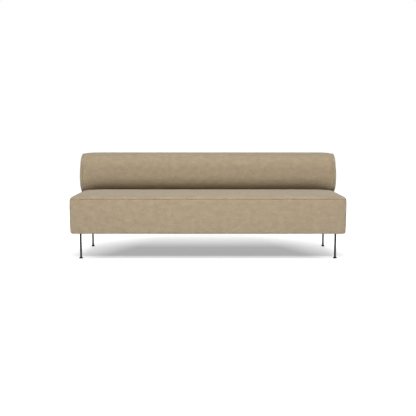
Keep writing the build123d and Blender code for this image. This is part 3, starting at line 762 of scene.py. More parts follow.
def shoulder_height(share):
    """Height of the top panel's rolled edge at a share of its reach, before the crown is added."""
    left = 1 - np.clip(share, 0, 1)
    return SEAM_Z + (SHOULDER_TOP - SEAM_Z) * (1 - left**SHOULDER_ROUND) ** (1 / SHOULDER_ROUND)


def seat_height(points):
    """Height of the seat's top panel under points; far below the seat where they are beside it."""
    share_x = (SEAT_HALF_X - SEAM_INSET - np.abs(points[:, 0])) / SIDE_SHOULDER
    share_y = (SEAT_HALF_Y - SEAM_INSET - np.abs(points[:, 1])) / FRONT_SHOULDER
    share = np.minimum(share_x, share_y)
    return np.where(share > 0, shoulder_height(share) + crown(points), 0.0)


def seat_top_panel():
    """Crowned top panel, from the seam round its edge over the rolled shoulder to the middle."""
    rows = [(SEAM_INSET + inset * MM + 0 * SHOULDER, SEAM_Z + up * MM, 0.0) for inset, up in SEAM_TUCK]
    rows += [(SEAM_INSET + share * SHOULDER, shoulder_height(share), 0.0) for share in SHOULDER_SHARES]
    level = rows[-1][0]
    rows += [(level + share * (INNER_INSET - level), SHOULDER_TOP, share) for share in (0.2, 0.45, 0.7, 1)]
    runs = run_along([(inset[1], z) for inset, z, _ in rows])
    rings, flat = [], []
    for number, ((inset, z, squareness), run) in enumerate(zip(rows, runs)):
        ring = seat_ring(inset, squareness=squareness)
        rise = crown(ring) if number >= len(SEAM_TUCK) else 0.0
        rings.append(at_height(ring, z + rise))
        flat.append(seat_ring(INNER_INSET - (runs[-1] - run), squareness=1.0))
    inner, faces = fill_last(rings, SEAT_STEPS)
    inner[:, 2] = SHOULDER_TOP + crown(inner)
    return new_piece("seat_top_panel", np.vstack(rings + [inner]), faces, np.vstack(flat + [inner[:, :2]]))


def seat_side_band():
    """Side band with an upright seam at each corner and its lower edge turned under the frame."""
    hem_edge = side_inset(FLOOR_GAP) + HEM_WIDTH
    rows = [(hem_edge, FLOOR_GAP), (hem_edge - BOTTOM_RADIUS, FLOOR_GAP)]
    for degrees in (0, 22, 45, 68, 90):
        turn = math.radians(degrees)
        inset = side_inset(FLOOR_GAP) + BOTTOM_RADIUS * (1 - math.sin(turn))
        rows.append((inset, FLOOR_GAP + BOTTOM_RADIUS * (1 - math.cos(turn))))
    low, high = FLOOR_GAP + BOTTOM_RADIUS, SEAM_Z - SEAM_TUCK[-1][1] * MM
    rows += [(side_inset(z), z) for z in np.linspace(low, high, 22)[1:]]
    rows += [(SEAM_INSET + inset * MM, SEAM_Z - down * MM) for inset, down in SEAM_TUCK[-2::-1]]
    round_run = run_along(seat_ring(0.0))[:, None]
    rings, flat = [], []
    for (inset, z), run in zip(rows, run_along(rows)):
        ring = seat_ring(inset)
        for corner in SEAT_CORNERS:
            ring[corner] -= np.sign(ring[corner]) * CORNER_SEAM_DEPTH * math.sqrt(0.5)
        rings.append(at_height(ring, z))
        flat.append(at_height(round_run, run))
    faces = strip_faces(len(rings), SEAT_RING_LENGTH)
    return new_piece("seat_side_band", np.vstack(rings), faces, np.vstack(flat))


# ---------------------------------------------------------------- bolster cover
SECTION_STEPS = 76
END_STEPS = (17, 21)  # of a ring round an end panel, along Y and along Z
TOPSTITCH = 10 * MM  # row of stitches on the wrap, from the seam
TOPSTITCH_DEPTH, TOPSTITCH_WIDTH = 1.6 * MM, 3.2 * MM
ALLOWANCE = 30 * MM  # the edge of the seam allowance shows faintly through the wrap, this far from the seam
ALLOWANCE_DEPTH, ALLOWANCE_WIDTH = 1.0 * MM, 6 * MM
WRAP_EDGE = (84, 72, 62, 53, 46, 40, 35, 30, 25, 20, 16, 13, 11.2, 10, 8.8, 7, 4.8, 3)  # mm from the seam
WRAP_MIDDLE_START, WRAP_MIDDLE_ROWS = 97 * MM, 118  # its even rows, from this far from each seam
WRAP_TUCK = ((1.6, 0.3), (0.5, 2.2), (0, 9))  # mm from the seam's plane, and drawn in
END_SCALES = (0.995, 0.985, 0.965, 0.935, 0.89, 0.83, 0.76, 0.68, 0.59, 0.5, 0.4)  # of the rings in its crown


def back_section():
    """Points and outward normals, in (Y, Z), evenly round the bolster's section, and the length round it.
    The first is the middle of the low front corner."""
    path = []
    for side_y, side_z, radius, first_angle in (
        (-1, -1, BACK_FRONT_RADIUS, 180),
        (1, -1, BACK_REAR_RADIUS, 270),
        (1, 1, BACK_REAR_RADIUS, 0),
        (-1, 1, BACK_FRONT_RADIUS, 90),
    ):
        middle_y = BACK_MIDDLE_Y + side_y * (BACK_HALF_Y - radius)
        middle_z = BACK_MIDDLE_Z + side_z * (BACK_HALF_Z - radius)
        for half_degrees in range(181):
            angle = math.radians(first_angle + half_degrees / 2)
            normal = (math.cos(angle), math.sin(angle))
            path.append((middle_y + radius * normal[0], middle_z + radius * normal[1], *normal))
    path = np.array(path + path[:1])
    run = run_along(path[:, :2])
    wanted = (run[90] + run[-1] * np.arange(SECTION_STEPS) / SECTION_STEPS) % run[-1]
    columns = [np.interp(wanted, run, column) for column in path.T]
    return np.column_stack(columns[:2]), np.column_stack(columns[2:]), run[-1]


SECTION, SECTION_NORMALS, SECTION_LENGTH = back_section()


def seam_out(z):
    """How far out the end seams of the bolster are at height z."""
    rise = np.clip((z - BACK_MIDDLE_Z - LEAN_START) / LEAN_RISE, 0, 1)
    return BACK_SEAM_X - END_LEAN * rise**2 * (3 - 2 * rise)


def section_at(x, draw, sag):
    """Points of the section at x: the seam draws it in, and its underside sags."""
    underside = np.clip(-SECTION_NORMALS[:, 1], 0, 1)
    yz = SECTION - (draw * (1 - underside))[:, None] * SECTION_NORMALS
    z = yz[:, 1] - sag * underside
    return np.column_stack([x * seam_out(z) / BACK_SEAM_X, yz[:, 0], z])


def wrap_draw(x):
    """How far the wrap is drawn in at x, by the seam at its end and by the rows beside it."""
    far = BACK_SEAM_X - abs(x)
    stitched = TOPSTITCH_DEPTH * math.exp(-(((far - TOPSTITCH) / TOPSTITCH_WIDTH) ** 2))
    allowance = ALLOWANCE_DEPTH * math.exp(-(((far - ALLOWANCE) / ALLOWANCE_WIDTH) ** 2))
    return END_DRAW * math.exp(-far / END_DRAW_RUN) + stitched + allowance


def wrap_sag(x):
    """How far the underside of the bolster follows the crown of the seat down, at x."""
    start = BACK_SEAM_X - CROWN_RUN
    return END_SAG * (max(abs(x) - start, 0) / CROWN_RUN) ** 2


def rest_on_seat(points, above=CLOTH):
    """Lift points that would be inside the seat to just above its top panel."""
    points[:, 2] = np.maximum(points[:, 2], seat_height(points) + above)
    return points


def back_wrap():
    """Wrap of the bolster between its two end seams."""
    limit = BACK_SEAM_X - WRAP_MIDDLE_START
    stations = [-BACK_SEAM_X + edge * MM for edge in WRAP_EDGE[::-1]]
    stations += list(np.linspace(-limit, limit, WRAP_MIDDLE_ROWS))
    stations += [BACK_SEAM_X - edge * MM for edge in WRAP_EDGE]
    rows = [(-BACK_SEAM_X + x * MM, END_DRAW + draw * MM) for x, draw in WRAP_TUCK[::-1]]
    rows += [(x, wrap_draw(x)) for x in stations]
    rows += [(BACK_SEAM_X - x * MM, END_DRAW + draw * MM) for x, draw in WRAP_TUCK]
    around = SECTION_LENGTH * np.arange(SECTION_STEPS) / SECTION_STEPS
    rings, flat = [], []
    for (x, draw), run in zip(rows, run_along(rows)):
        extra = max(draw - END_DRAW, 0)
        section = section_at(x, draw - extra, wrap_sag(x))
        section[:, 1:] -= extra * SECTION_NORMALS
        rings.append(rest_on_seat(section))
        flat.append(np.column_stack([np.full(SECTION_STEPS, run), around]))
    return new_piece("back_wrap", np.vstack(rings), strip_faces(len(rings), SECTION_STEPS), np.vstack(flat))


def end_form(toward, rims, inset):
    """Points and faces of a crowned end of the bolster, inset from its cover. toward is -1 at the left and 1
    at the right. rims are the rings before the crown: mm out from the seam and mm drawn in from it."""
    seam = section_at(toward * BACK_SEAM_X, END_DRAW, END_SAG)
    seam[:, 1:] -= inset * SECTION_NORMALS
    middle = np.array([toward * BACK_SEAM_X, BACK_MIDDLE_Y, BACK_MIDDLE_Z - END_DROP])

    def bulge(scale):
        return toward * (END_BULGE - inset) * (1 - scale**2) ** (1 / END_FULLNESS)

    rings = []
    for out, draw in rims:
        ring = seam.copy()
        ring[:, 1:] -= draw * MM * SECTION_NORMALS
        ring[:, 0] += toward * out * MM
        rings.append(ring)
    for scale in END_SCALES:
        ring = middle + (seam - middle) * scale
        ring[:, 0] = toward * seam_out(ring[:, 2]) + bulge(scale)
        rings.append(ring)
    inner, faces = fill_last(rings, END_STEPS)
    a, b = (np.linspace(-1, 1, steps + 1)[1:-1] for steps in END_STEPS)
    a, b = a[None, :], b[:, None]
    far = np.sqrt(a**2 + b**2 - a**2 * b**2).ravel() * END_SCALES[-1]
    inner[:, 0] = toward * seam_out(inner[:, 2]) + bulge(far)
    return rest_on_seat(np.vstack(rings + [inner]), CLOTH + inset), faces


def facing_out(toward, faces):
    return [face[::-1] for face in faces] if toward < 0 else faces


top_panel = seat_top_panel()
side_band = seat_side_band()
wrap = back_wrap()
covers = {top_panel: "seat_cover_top", side_band: "seat_cover_boxing", wrap: "back_cover_wrap"}
for side, toward in SIDES:
    end_points, end_faces = end_form(toward, ((0.0, 9), (0.5, 2.2), (1.6, 0.3)), 0.0)
    end = new_piece(f"back_end_{side}", end_points, facing_out(toward, end_faces), end_points[:, 1:])
    covers[end] = f"back_cover_end_{side}"


# ---------------------------------------------------------------- the covers swell over their filling
SIM_FRAMES = 20
SWELL_CAP = 5 * MM  # no point moves further out
PRESS_CAP = 0.4 * MM  # or in, where the foam is
FOAM_HOLD = 0.3  # how much the foam keeps the cloth in its place; a seam does so fully
CLOTH_SETTINGS = {
    "quality": 6,
    "mass": 0.05,
    "tension_stiffness": 15,
    "compression_stiffness": 15,
    "shear_stiffness": 6,
    "bending_stiffness": 5,
    "use_pressure": True,
    "uniform_pressure_force": 5,
    "vertex_group_mass": "held",
    "shrink_min": -0.0005,
}
SEAT_SEAM_HOLD = 2.5 * MM  # points this near to the seam of the seat don't move
END_SEAM_HOLD = 0.4 * MM  # and of an end panel, this near to its seam
BACK_HOLD = 20 * MM  # and of the top panel, from this far in front of the bolster's flat underside
ON_SEAT = 4 * MM  # and of the bolster, this near to the seat


def swell(pieces):
    """Simulate the covers as cloth under pressure."""
    scene = bpy.context.scene
    before = {}
    for piece in pieces:
        points = mesh_points(piece)
        before[piece] = points, mesh_normals(piece)
        group = piece.vertex_groups.new(name="held")
        still = held_by_seams(piece, points)
        for chosen, weight in ((still, 1.0), (~still, FOAM_HOLD)):
            group.add([int(index) for index in np.flatnonzero(chosen)], weight, "REPLACE")
        cloth = piece.modifiers.new("cloth", "CLOTH")
        cloth.point_cache.frame_end = SIM_FRAMES
        for key, value in CLOTH_SETTINGS.items():
            setattr(cloth.settings, key, value)
        cloth.settings.effector_weights.gravity = 0
        cloth.collision_settings.use_collision = False
    for number in range(1, SIM_FRAMES + 1):
        scene.frame_set(number)
    for piece in pieces:
        finish_modifiers(piece)
        start, normals = before[piece]
        moved = mesh_points(piece) - start
        out = (moved * normals).sum(axis=1, keepdims=True)
        moved += (np.clip(out, -PRESS_CAP, SWELL_CAP) - out) * normals
        length = np.linalg.norm(moved, axis=1, keepdims=True)
        moved *= np.minimum(1, SWELL_CAP / np.maximum(length, 1e-9))
        set_points(piece, start + moved)
        piece.vertex_groups.clear()
    scene.frame_set(1)


def held_by_seams(piece, points):
    """Which points of a cover don't move: its seams, its hem, and what lies on the other cushion."""
    x, y, z = np.abs(points[:, 0]), points[:, 1], points[:, 2]
    at_seat_seam = np.abs(z - SEAM_Z) < SEAT_SEAM_HOLD
    if piece is top_panel:
        return at_seat_seam | (y > WRAP_LOW.y + BACK_FRONT_RADIUS - BACK_HOLD)
    if piece is side_band:
        return at_seat_seam | (z < FLOOR_GAP + BOTTOM_RADIUS)
    on_seat = z < seat_height(points) + ON_SEAT
    at_end_seam = seam_out(z) - x < TOPSTITCH if piece is wrap else x - seam_out(z) < END_SEAM_HOLD
    return on_seat | at_end_seam


swell(list(covers))


# ---------------------------------------------------------------- puckers, thickness and finish of the covers
def wave(run, pitch, phase):
    """Uneven ripples about pitch apart along run, from -1 to 1."""
    wander = 1.8 * np.sin(run / (3.7 * pitch) * math.tau / 2 + 2 * phase)
    strength = 0.6 + 0.4 * np.sin(run / (6.1 * pitch) * math.tau + phase)
    return strength * np.sin(run / pitch * math.tau + wander + phase)


def ripples(far, run, height, reach, pitch, phase):
    """A wave of a height along a seam, that fades over reach with the distance far from the seam."""
    return height * np.exp(-np.abs(far) / reach) * wave(run, pitch, phase)


def seat_puckers(points, normals):
    """Ripples along the seam of the seat and, from its staples, along its hem."""
    along = np.where(np.abs(normals[:, 0]) > np.abs(normals[:, 1]), points[:, 1], points[:, 0])
    z = points[:, 2]
    at_seam = ripples(z - SEAM_Z, along, height=0.35 * MM, reach=11 * MM, pitch=24 * MM, phase=0.4)
    above_hem = z - FLOOR_GAP - 4 * MM
    at_hem = ripples(above_hem, along, height=0.9 * MM, reach=13 * MM, pitch=STAPLE_PITCH, phase=2.0)
    return at_seam + at_hem


def back_puckers(points, normals):
    """Ripples round the end seams of the bolster."""
    angle = np.arctan2(points[:, 2] - BACK_MIDDLE_Z, points[:, 1] - BACK_MIDDLE_Y)
    along = angle * SECTION_LENGTH / math.tau
    far = np.abs(points[:, 0]) - seam_out(points[:, 2])
    return ripples(far, along, height=0.45 * MM, reach=12 * MM, pitch=21 * MM, phase=1.1)


for cover, node in covers.items():
    modify(cover, "SUBSURF", levels=1, render_levels=1)
    points, normals = mesh_points(cover), mesh_normals(cover)
    puckers = seat_puckers if cover in (top_panel, side_band) else back_puckers
    set_points(cover, points + puckers(points, normals)[:, None] * normals)
    modify(cover, "SOLIDIFY", thickness=CLOTH, offset=-1)
    smooth(cover)
    dress(cover, CLOTH_MATERIAL, "cover_cloth", "sofa", node)

# ---------------------------------------------------------------- topstitching at the ends of the bolster
STITCH_PITCH = 6 * MM
STITCH_LENGTH = 4.6 * MM
STITCH_RADIUS = 0.55 * MM
STITCH_LIFT = 0.2 * STITCH_RADIUS  # its middle, above the cloth
LOOK_FROM, LOOK_LENGTH = 30 * MM, 80 * MM  # the line that finds the cloth starts outside it and goes inwards


def stitch():
    """One stitch along X, its two ends pulled down into the cloth."""
    model = primitive(bpy.ops.mesh.primitive_uv_sphere_add, segments=8, ring_count=6, radius=STITCH_RADIUS)
    points = mesh_points(model)[:, [2, 1, 0]]
    points[:, 0] += np.sign(points[:, 0]) * (STITCH_LENGTH / 2 - STITCH_RADIUS)
    points[:, 2] -= STITCH_RADIUS * (2 * points[:, 0] / STITCH_LENGTH) ** 2
    set_points(model, points)
    edit(model, MERGE, TURN_OUT)
    smooth(model)
    return model


def stitch_places(toward):
    """Where the stitches of one end lie on the finished wrap."""
    surface = BVHTree.FromObject(wrap, bpy.context.evaluated_depsgraph_get())
    x = toward * (BACK_SEAM_X - TOPSTITCH)
    middle = Vector((x, BACK_MIDDLE_Y, BACK_MIDDLE_Z))
    length, two_points = round_loop(section_at(x, 0.0, 0.0))
    count = int(length / STITCH_PITCH)
    for number in range(count):
        spot, ahead = (Vector(point) for point in two_points(length * number / count))
        along = (ahead - spot).normalized()
        inward = along.cross(Vector((1, 0, 0)))
        if inward.dot(middle - spot) < 0:
            inward = -inward
        hit, normal, _, _ = surface.ray_cast(spot - LOOK_FROM * inward, inward, LOOK_LENGTH)
        if hit is None:
            continue
        across = normal.cross(along).normalized()
        turn = Matrix((normal.cross(across) * -1, across, normal)).transposed()
        yield Matrix.Translation(hit + STITCH_LIFT * normal) @ turn.to_4x4()


for side, toward in SIDES:
    stitches = repeat(f"end_topstitching_{side}", stitch(), list(stitch_places(toward)))
    dress(stitches, THREAD, "cover_cloth", "sofa")

# ---------------------------------------------------------------- foam and wadding inside the covers
FOAM_EDGE = 4 * MM
FOAM_LOW, FOAM_HIGH = (corner.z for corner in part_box("seat_foam"))
TOPPER_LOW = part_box("seat_topper")[0].z
PADDING_LOW, PADDING_HIGH = (corner.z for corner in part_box("rail_padding"))
PADDING_INNER = SEAT_HALF_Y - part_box("seat_rail_back")[1].y - 0.2 * MM  # inset of the wadding's inner edge
BAR_NODES = ("back_bar_left", "back_bar_centre", "back_bar_right")
SLOT_ROOM = Vector((2, 2, 2)) * MM  # a slot is this much larger than its bar


def inside_side(z):
    """Inset of what lies against the inside of the side band, at height z."""
    return side_inset(z) + CLOTH + CLEAR


def seat_block(name, rows, top_height):
    """A closed block under the seat's top panel. rows give its inset and height from the underside up."""
    rings = [at_height(SQUARE_RING, rows[0][1])]
    rings += [at_height(seat_ring(inset), z) for inset, z in rows]
    rings.append(at_height(SQUARE_RING, top_height(SQUARE_RING)))
    under, over = (patch_points(ring, *SEAT_STEPS) for ring in (rings[0], rings[-1]))
    over[:, 2] = top_height(over)
    inner_start = len(rings) * SEAT_RING_LENGTH
    faces = strip_faces(len(rings), SEAT_RING_LENGTH)
    faces += [face[::-1] for face in patch_faces(*SEAT_STEPS, 0, inner_start)]
    faces += patch_faces(*SEAT_STEPS, inner_start - SEAT_RING_LENGTH, inner_start + len(under))
    return new_piece(name, np.vstack(rings + [under, over]), faces)


def block_sides(low, high):
    """Rows up the side of a foam block, its edges a little rounded."""
    rounding = ((FOAM_EDGE, 0), (FOAM_EDGE * 0.3, FOAM_EDGE * 0.3))
    rows = [(inside_side(low) + inset, low + up) for inset, up in rounding]
    rows += [(inside_side(z), z) for z in np.linspace(low + FOAM_EDGE, high - FOAM_EDGE, 8)]
    return rows + [(inside_side(high) + inset, high - down) for inset, down in rounding[::-1]]


def topper_sides():
    """Rows up the side of the topper and over its shoulder, a little inside the top panel."""
    inset = inside_side(TOPPER_LOW)
    rows = [(inset + FOAM_EDGE, TOPPER_LOW), (inset, TOPPER_LOW + FOAM_EDGE)]
    rows.append((inside_side(SEAM_Z) + 2 * CLEAR, SEAM_Z))
    for share in SHOULDER_SHARES[1:]:
        inset = SEAM_INSET + CLOTH + 3 * CLEAR + share * SHOULDER
        rows.append((inset, shoulder_height(share) - CLOTH - CLEAR))
    return rows


def padding_sides():
    """Rows up the outside of the wadding on the rails, from its inner edge below to its inner edge above."""
    low, high = PADDING_LOW, PADDING_HIGH
    rows = [(PADDING_INNER, low), (inside_side(low) + BOTTOM_RADIUS, low)]
    rows.append((inside_side(low) + 3 * MM, low + 3 * MM))
    rows += [(inside_side(z), z) for z in np.linspace(low + BOTTOM_RADIUS, high - 2 * MM, 9)]
    return rows + [(inside_side(high) + 2 * MM, high), (PADDING_INNER, high)]


def cut_bar_slots(piece):
    """Slots through a seat layer for the three steel bars that carry the back."""
    bars = [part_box(node) for node in BAR_NODES]
    slots = [blank((low + high) / 2, high - low + SLOT_ROOM) for low, high in bars]
    cut_away(piece, join("bar_slots", *slots))


def cad_copy(name, node, edge):
    """A soft piece with the form of its CAD node, its edges rounded."""
    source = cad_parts[node]
    piece = new_object(name, source.data.copy())
    piece.data.transform(source.matrix_world)
    merging = (bpy.ops.mesh.remove_doubles, {"threshold": 0.02 * MM})
    edit(piece, merging, (bpy.ops.mesh.dissolve_limited, {"angle_limit": math.radians(1)}))
    modify(piece, "BEVEL", width=edge, segments=2, angle_limit=math.radians(40))
    return piece


seat_foam = seat_block(
    "seat_foam_block", block_sides(FOAM_LOW, FOAM_HIGH), lambda points: np.full(len(points), FOAM_HIGH)
)
seat_topper = seat_block(
    "seat_topper_layer", topper_sides(), lambda points: seat_height(points) - CLOTH - 2 * CLEAR
)
cut_bar_slots(seat_foam)
cut_bar_slots(seat_topper)
dress_filling(seat_foam, FOAM, "foam", "seat_foam", 35)
dress_filling(seat_topper, SOFT_FOAM, "foam", "seat_topper", 35)

padding_rings = [at_height(seat_ring(inset), z) for inset, z in padding_sides()]
padding_faces = np.array(strip_faces(len(padding_rings) + 1, SEAT_RING_LENGTH))
padding_faces %= len(padding_rings) * SEAT_RING_LENGTH  # the last ring joins the first
rail_wadding = new_piece("rail_wadding", np.vstack(padding_rings), padding_faces.tolist())
dress_filling(rail_wadding, WADDING, "wadding", "rail_padding", 50)

for side in ("front", "rear"):
    block = cad_copy(f"back_foam_{side}_block", f"back_foam_{side}", 2 * MM)
    dress_filling(block, FOAM, "foam", f"back_foam_{side}", 35)

CUSHION_INSET = 3.5 * MM
CUSHION_RIMS = ((-11, 14), (-2.5, 14), (3, 3))  # the end cushions reach in between the seam allowances
for side, toward in SIDES:
    cushion_points, cushion_faces = end_form(toward, CUSHION_RIMS, CUSHION_INSET)
    cushion_faces.append(tuple(reversed(range(SECTION_STEPS))))
    cushion = new_piece(f"back_end_cushion_{side}", cushion_points, facing_out(toward, cushion_faces))
    dress_filling(cushion, SOFT_FOAM, "foam", f"back_end_pad_{side}", 35)

# ---------------------------------------------------------------- webbing and felt
STRAP_WIDTH, STRAP_PITCH = 60 * MM, 132 * MM
LONG_STRAP_PITCH = 160 * MM
LONG_STRAP_COUNT = 3
STRAP_LEVEL = 34 * MM  # a woven strap is level this far each side of a crossing's middle
STRAP_RISE_START = 70 * MM  # it leaves the rails' level this far beyond the outermost crosswise straps
CROSS_LOW, CROSS_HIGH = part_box("webbing_crosswise")
LONG_LOW, LONG_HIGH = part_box("webbing_lengthwise")
FELT_LOW, FELT_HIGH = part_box("webbing_felt")
CROSS_STRAPS = [
    CROSS_LOW.x + STRAP_WIDTH / 2 + STRAP_PITCH * n
    for n in range(round((CROSS_HIGH.x - CROSS_LOW.x - STRAP_WIDTH) / STRAP_PITCH) + 1)
]
STRAP_THICKNESS = CROSS_HIGH.z - CROSS_LOW.z


def flat_sheet(name, low, high, steps, thickness, height=None):
    """A level sheet between two corners, with an even grid and rounded edges. height may bend it."""
    divisions = {"x_subdivisions": steps[0], "y_subdivisions": steps[1]}
    piece = primitive(bpy.ops.mesh.primitive_grid_add, size=1, **divisions)
    piece.name = name
    points = mesh_points(piece) * (high - low) + (low + high) / 2
    points[:, 2] = low.z if height is None else height(points)
    set_points(piece, points)
    modify(piece, "SOLIDIFY", thickness=thickness, offset=1)
    modify(piece, "BEVEL", width=thickness * 0.3, segments=2, angle_limit=math.radians(60))
    smooth(piece, 40)
    return piece


def woven_height(first_over):
    """Height of the underside of a strap that goes over and under the crosswise straps in turn."""
    level = [(LONG_LOW.x, 0.0), (CROSS_LOW.x - STRAP_RISE_START, 0.0)]
    for number, x in enumerate(CROSS_STRAPS):
        side = 1 if (number % 2 == 0) == first_over else -1
        level += [(x - STRAP_LEVEL, side * STRAP_THICKNESS), (x + STRAP_LEVEL, side * STRAP_THICKNESS)]
    level += [(CROSS_HIGH.x + STRAP_RISE_START, 0.0), (LONG_HIGH.x, 0.0)]
    places, rises = np.array(level).T
    return lambda points: CROSS_LOW.z + np.interp(points[:, 0], places, rises)


half_width = STRAP_WIDTH / 2
cross_straps = []
for x in CROSS_STRAPS:
    low = Vector((x - half_width, CROSS_LOW.y, CROSS_LOW.z))
    high = Vector((x + half_width, CROSS_HIGH.y, CROSS_LOW.z))
    cross_straps.append(flat_sheet("strap", low, high, (6, 60), STRAP_THICKNESS))
long_straps = []
for number in range(LONG_STRAP_COUNT):
    y = LONG_STRAP_PITCH * (number - (LONG_STRAP_COUNT - 1) / 2)
    low = Vector((LONG_LOW.x, y - half_width, CROSS_LOW.z))
    high = Vector((LONG_HIGH.x, y + half_width, CROSS_LOW.z))
    height = woven_height(number % 2 == 0)
    long_straps.append(flat_sheet("strap", low, high, (300, 4), STRAP_THICKNESS, height))
crosswise = join("crosswise_straps", *cross_straps)
lengthwise = join("lengthwise_straps", *long_straps)
felt_size = FELT_HIGH - FELT_LOW
felt_sheet = flat_sheet("felt_sheet", FELT_LOW, FELT_HIGH, (160, 52), felt_size.z)
cut_bar_slots(felt_sheet)
dress(crosswise, WEBBING, "webbing", "sofa", "webbing_crosswise")
dress(lengthwise, WEBBING, "webbing", "sofa", "webbing_lengthwise")
dress(felt_sheet, FELT, "felt", "sofa", "webbing_felt")

# ---------------------------------------------------------------- dust cover and its staples
DUST_LOW, DUST_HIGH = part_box("dust_cover")
DUST_INSET = SEAT_HALF_X - DUST_HIGH.x
DUST_CORNER = CORNER_RADIUS - DUST_INSET
DUST_CLOTH_THICKNESS = 0.3 * MM
DUST_FOLD = 12 * MM  # its edge is folded under
DUST_SAG = 3.5 * MM
DUST_RIPPLE = 1.1 * MM
PLATE_REACH = 80 * MM  # a leg plate holds the dust cover up this far round its middle
STAPLE_INSET = 7 * MM  # from the edge of the dust cover
STAPLE_STAND = 0.2 * MM  # its middle, below the cloth
STAPLE_DRIFT, STAPLE_TURN = 3, 0.2  # most unevenness, in mm along the edge and in radians
LEG_MIDDLES = [sum(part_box(f"leg_{corner}"), Vector()) / 2 for corner in CORNERS]


def dust_sag(points):
    """How far the dust cover hangs below the frame; the leg plates and the staples hold it up."""
    x, y = points[:, 0], points[:, 1]
    hang = DUST_SAG * (1 - (x / DUST_HIGH.x) ** 6) * (1 - (y / DUST_HIGH.y) ** 2)
    for leg in LEG_MIDDLES:
        hang = hang * (1 - np.exp(-((x - leg.x) ** 2 + (y - leg.y) ** 2) / PLATE_REACH**2))
    from_x, from_y = DUST_HIGH.x - np.abs(x), DUST_HIGH.y - np.abs(y)
    edge = np.minimum(from_x, from_y)
    fading = (1 - np.exp(-edge / (8 * MM))) * np.exp(-edge / (28 * MM))
    return hang + fading * DUST_RIPPLE * (1 + wave(np.where(from_x < from_y, y, x), STAPLE_PITCH, 0.3))


def dust_cover():
    """Black cloth under the frame, its edge folded in, hanging a little between its staples."""
    top, bottom = DUST_HIGH.z - DUST_CLOTH_THICKNESS, DUST_LOW.z
    rows = [(DUST_FOLD, top), (1.5 * MM, top), (0.2 * MM, (top + bottom) / 2), (1.5 * MM, bottom)]
    rows += [(inset * MM, bottom) for inset in (5, 9, 14, 20, 28, 38, 50)]
    rings = [at_height(seat_ring(DUST_INSET + inset, DUST_CORNER), z) for inset, z in rows]
    rings.append(at_height(SQUARE_RING, bottom))
    inner, faces = fill_last(rings, SEAT_STEPS)
    for low_side in rings[3:] + [inner]:
        low_side[:, 2] -= dust_sag(low_side)
    piece = new_piece("dust_cover_cloth", np.vstack(rings + [inner]), [face[::-1] for face in faces])
    modify(piece, "SOLIDIFY", thickness=DUST_CLOTH_THICKNESS, offset=-1)
    smooth(piece, 60)
    return piece


def staple():
    """One staple seen from below: a flat crown with its two legs up in the wood."""
    length, width, wire, leg = 10 * MM, 0.9 * MM, 0.6 * MM, 7 * MM
    leg_start = length / 2 - width
    model = blank((0, 0, 0), (length, width, wire))
    for x in (-leg_start, leg_start):
        edit(model, (bpy.ops.mesh.bisect, {"plane_co": (x, 0, 0), "plane_no": (1, 0, 0)}))
    choose_faces(model, lambda middle, normal: normal.z > 0.9 and abs(middle.x) > leg_start)
    bpy.ops.mesh.extrude_region_move(TRANSFORM_OT_translate={"value": (0, 0, leg)})
    bpy.ops.object.mode_set(mode="OBJECT")
    modify(model, "BEVEL", width=0.2 * MM, segments=1)
    return model


def staple_places():
    """Places of the staples, a hand's unevenness apart, along the edge of the dust cover."""
    hand = np.random.default_rng(4)
    length, two_points = round_loop(seat_ring(DUST_INSET + STAPLE_INSET, DUST_CORNER))
    for number in range(int(length / STAPLE_PITCH)):
        drift = hand.uniform(-STAPLE_DRIFT, STAPLE_DRIFT) * MM
        spot, ahead = two_points((number + 0.5) * STAPLE_PITCH + drift)
        turn = math.atan2(ahead[1] - spot[1], ahead[0] - spot[0]) + hand.uniform(-STAPLE_TURN, STAPLE_TURN)
        z = DUST_LOW.z - dust_sag(spot[None])[0] - STAPLE_STAND
        yield Matrix.Translation((*spot, z)) @ Matrix.Rotation(turn, 4, "Z")


dust = dust_cover()
dress(dust, DUST_CLOTH, "dust_cloth", "sofa", "dust_cover")
dress(repeat("dust_cover_staples", staple(), list(staple_places())), ZINC, "zinc_steel", "sofa")

# ---------------------------------------------------------------- screws of the leg plates
SCREW_SPACING = 40 * MM
SCREW_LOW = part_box("leg_screws")[0].z
# outline of a screw: mm from its axis and mm up
SCREW_HEAD = ((0, 0), (4.4, 0), (4.7, 0.1), (4.8, 0.3), (2.2, 2.7), (1.9, 3.6))
SCREW_SHAFT = ((1.9, 30), (0.9, 33), (0, 35))
SCREW_ROOT, SCREW_CREST, SCREW_PITCH = 1.8 * MM, 2.45 * MM, 2.2 * MM
THREAD_LOW, THREAD_TOP = 7 * MM, 29 * MM
RECESS_LENGTH, RECESS_WIDTH, RECESS_DEPTH = 5.2 * MM, 1.1 * MM, 2.3 * MM
RECESS_TAPER = (0.25, 0.7)  # what is left of its length and width at its bottom


def wood_screw():
    """Countersunk screw with a tapered cross recess, its head at the origin, pointing up."""
    screw = turned("screw", SCREW_HEAD + SCREW_SHAFT, 24)
    for turn in (0, math.radians(90)):
        blade = blank((0, 0, 0), (RECESS_LENGTH, RECESS_WIDTH, 2 * RECESS_DEPTH))
        points = mesh_points(blade)
        points[points[:, 2] > 0, :2] *= RECESS_TAPER
        set_points(blade, points)
        blade.data.transform(Matrix.Rotation(turn, 4, "Z"))
        cut_away(screw, blade)
    winding = screw_thread("thread", SCREW_ROOT, SCREW_CREST, SCREW_PITCH, THREAD_LOW, THREAD_TOP, 12)
    join("screw", screw, winding)
    smooth(screw, 35)
    return screw


hand = np.random.default_rng(9)
screw_places = []
for leg in LEG_MIDDLES:
    for dx, dy in ((-1, -1), (-1, 1), (1, -1), (1, 1)):
        place = Vector((leg.x + dx * SCREW_SPACING / 2, leg.y + dy * SCREW_SPACING / 2, SCREW_LOW))
        turn = Matrix.Rotation(hand.uniform(0, math.pi / 2), 4, "Z")
        screw_places.append(Matrix.Translation(place) @ turn)
screws = repeat("leg_plate_screws", wood_screw(), screw_places)
dress(screws, BLACK_OXIDE, "black_screws", "sofa", "leg_screws")

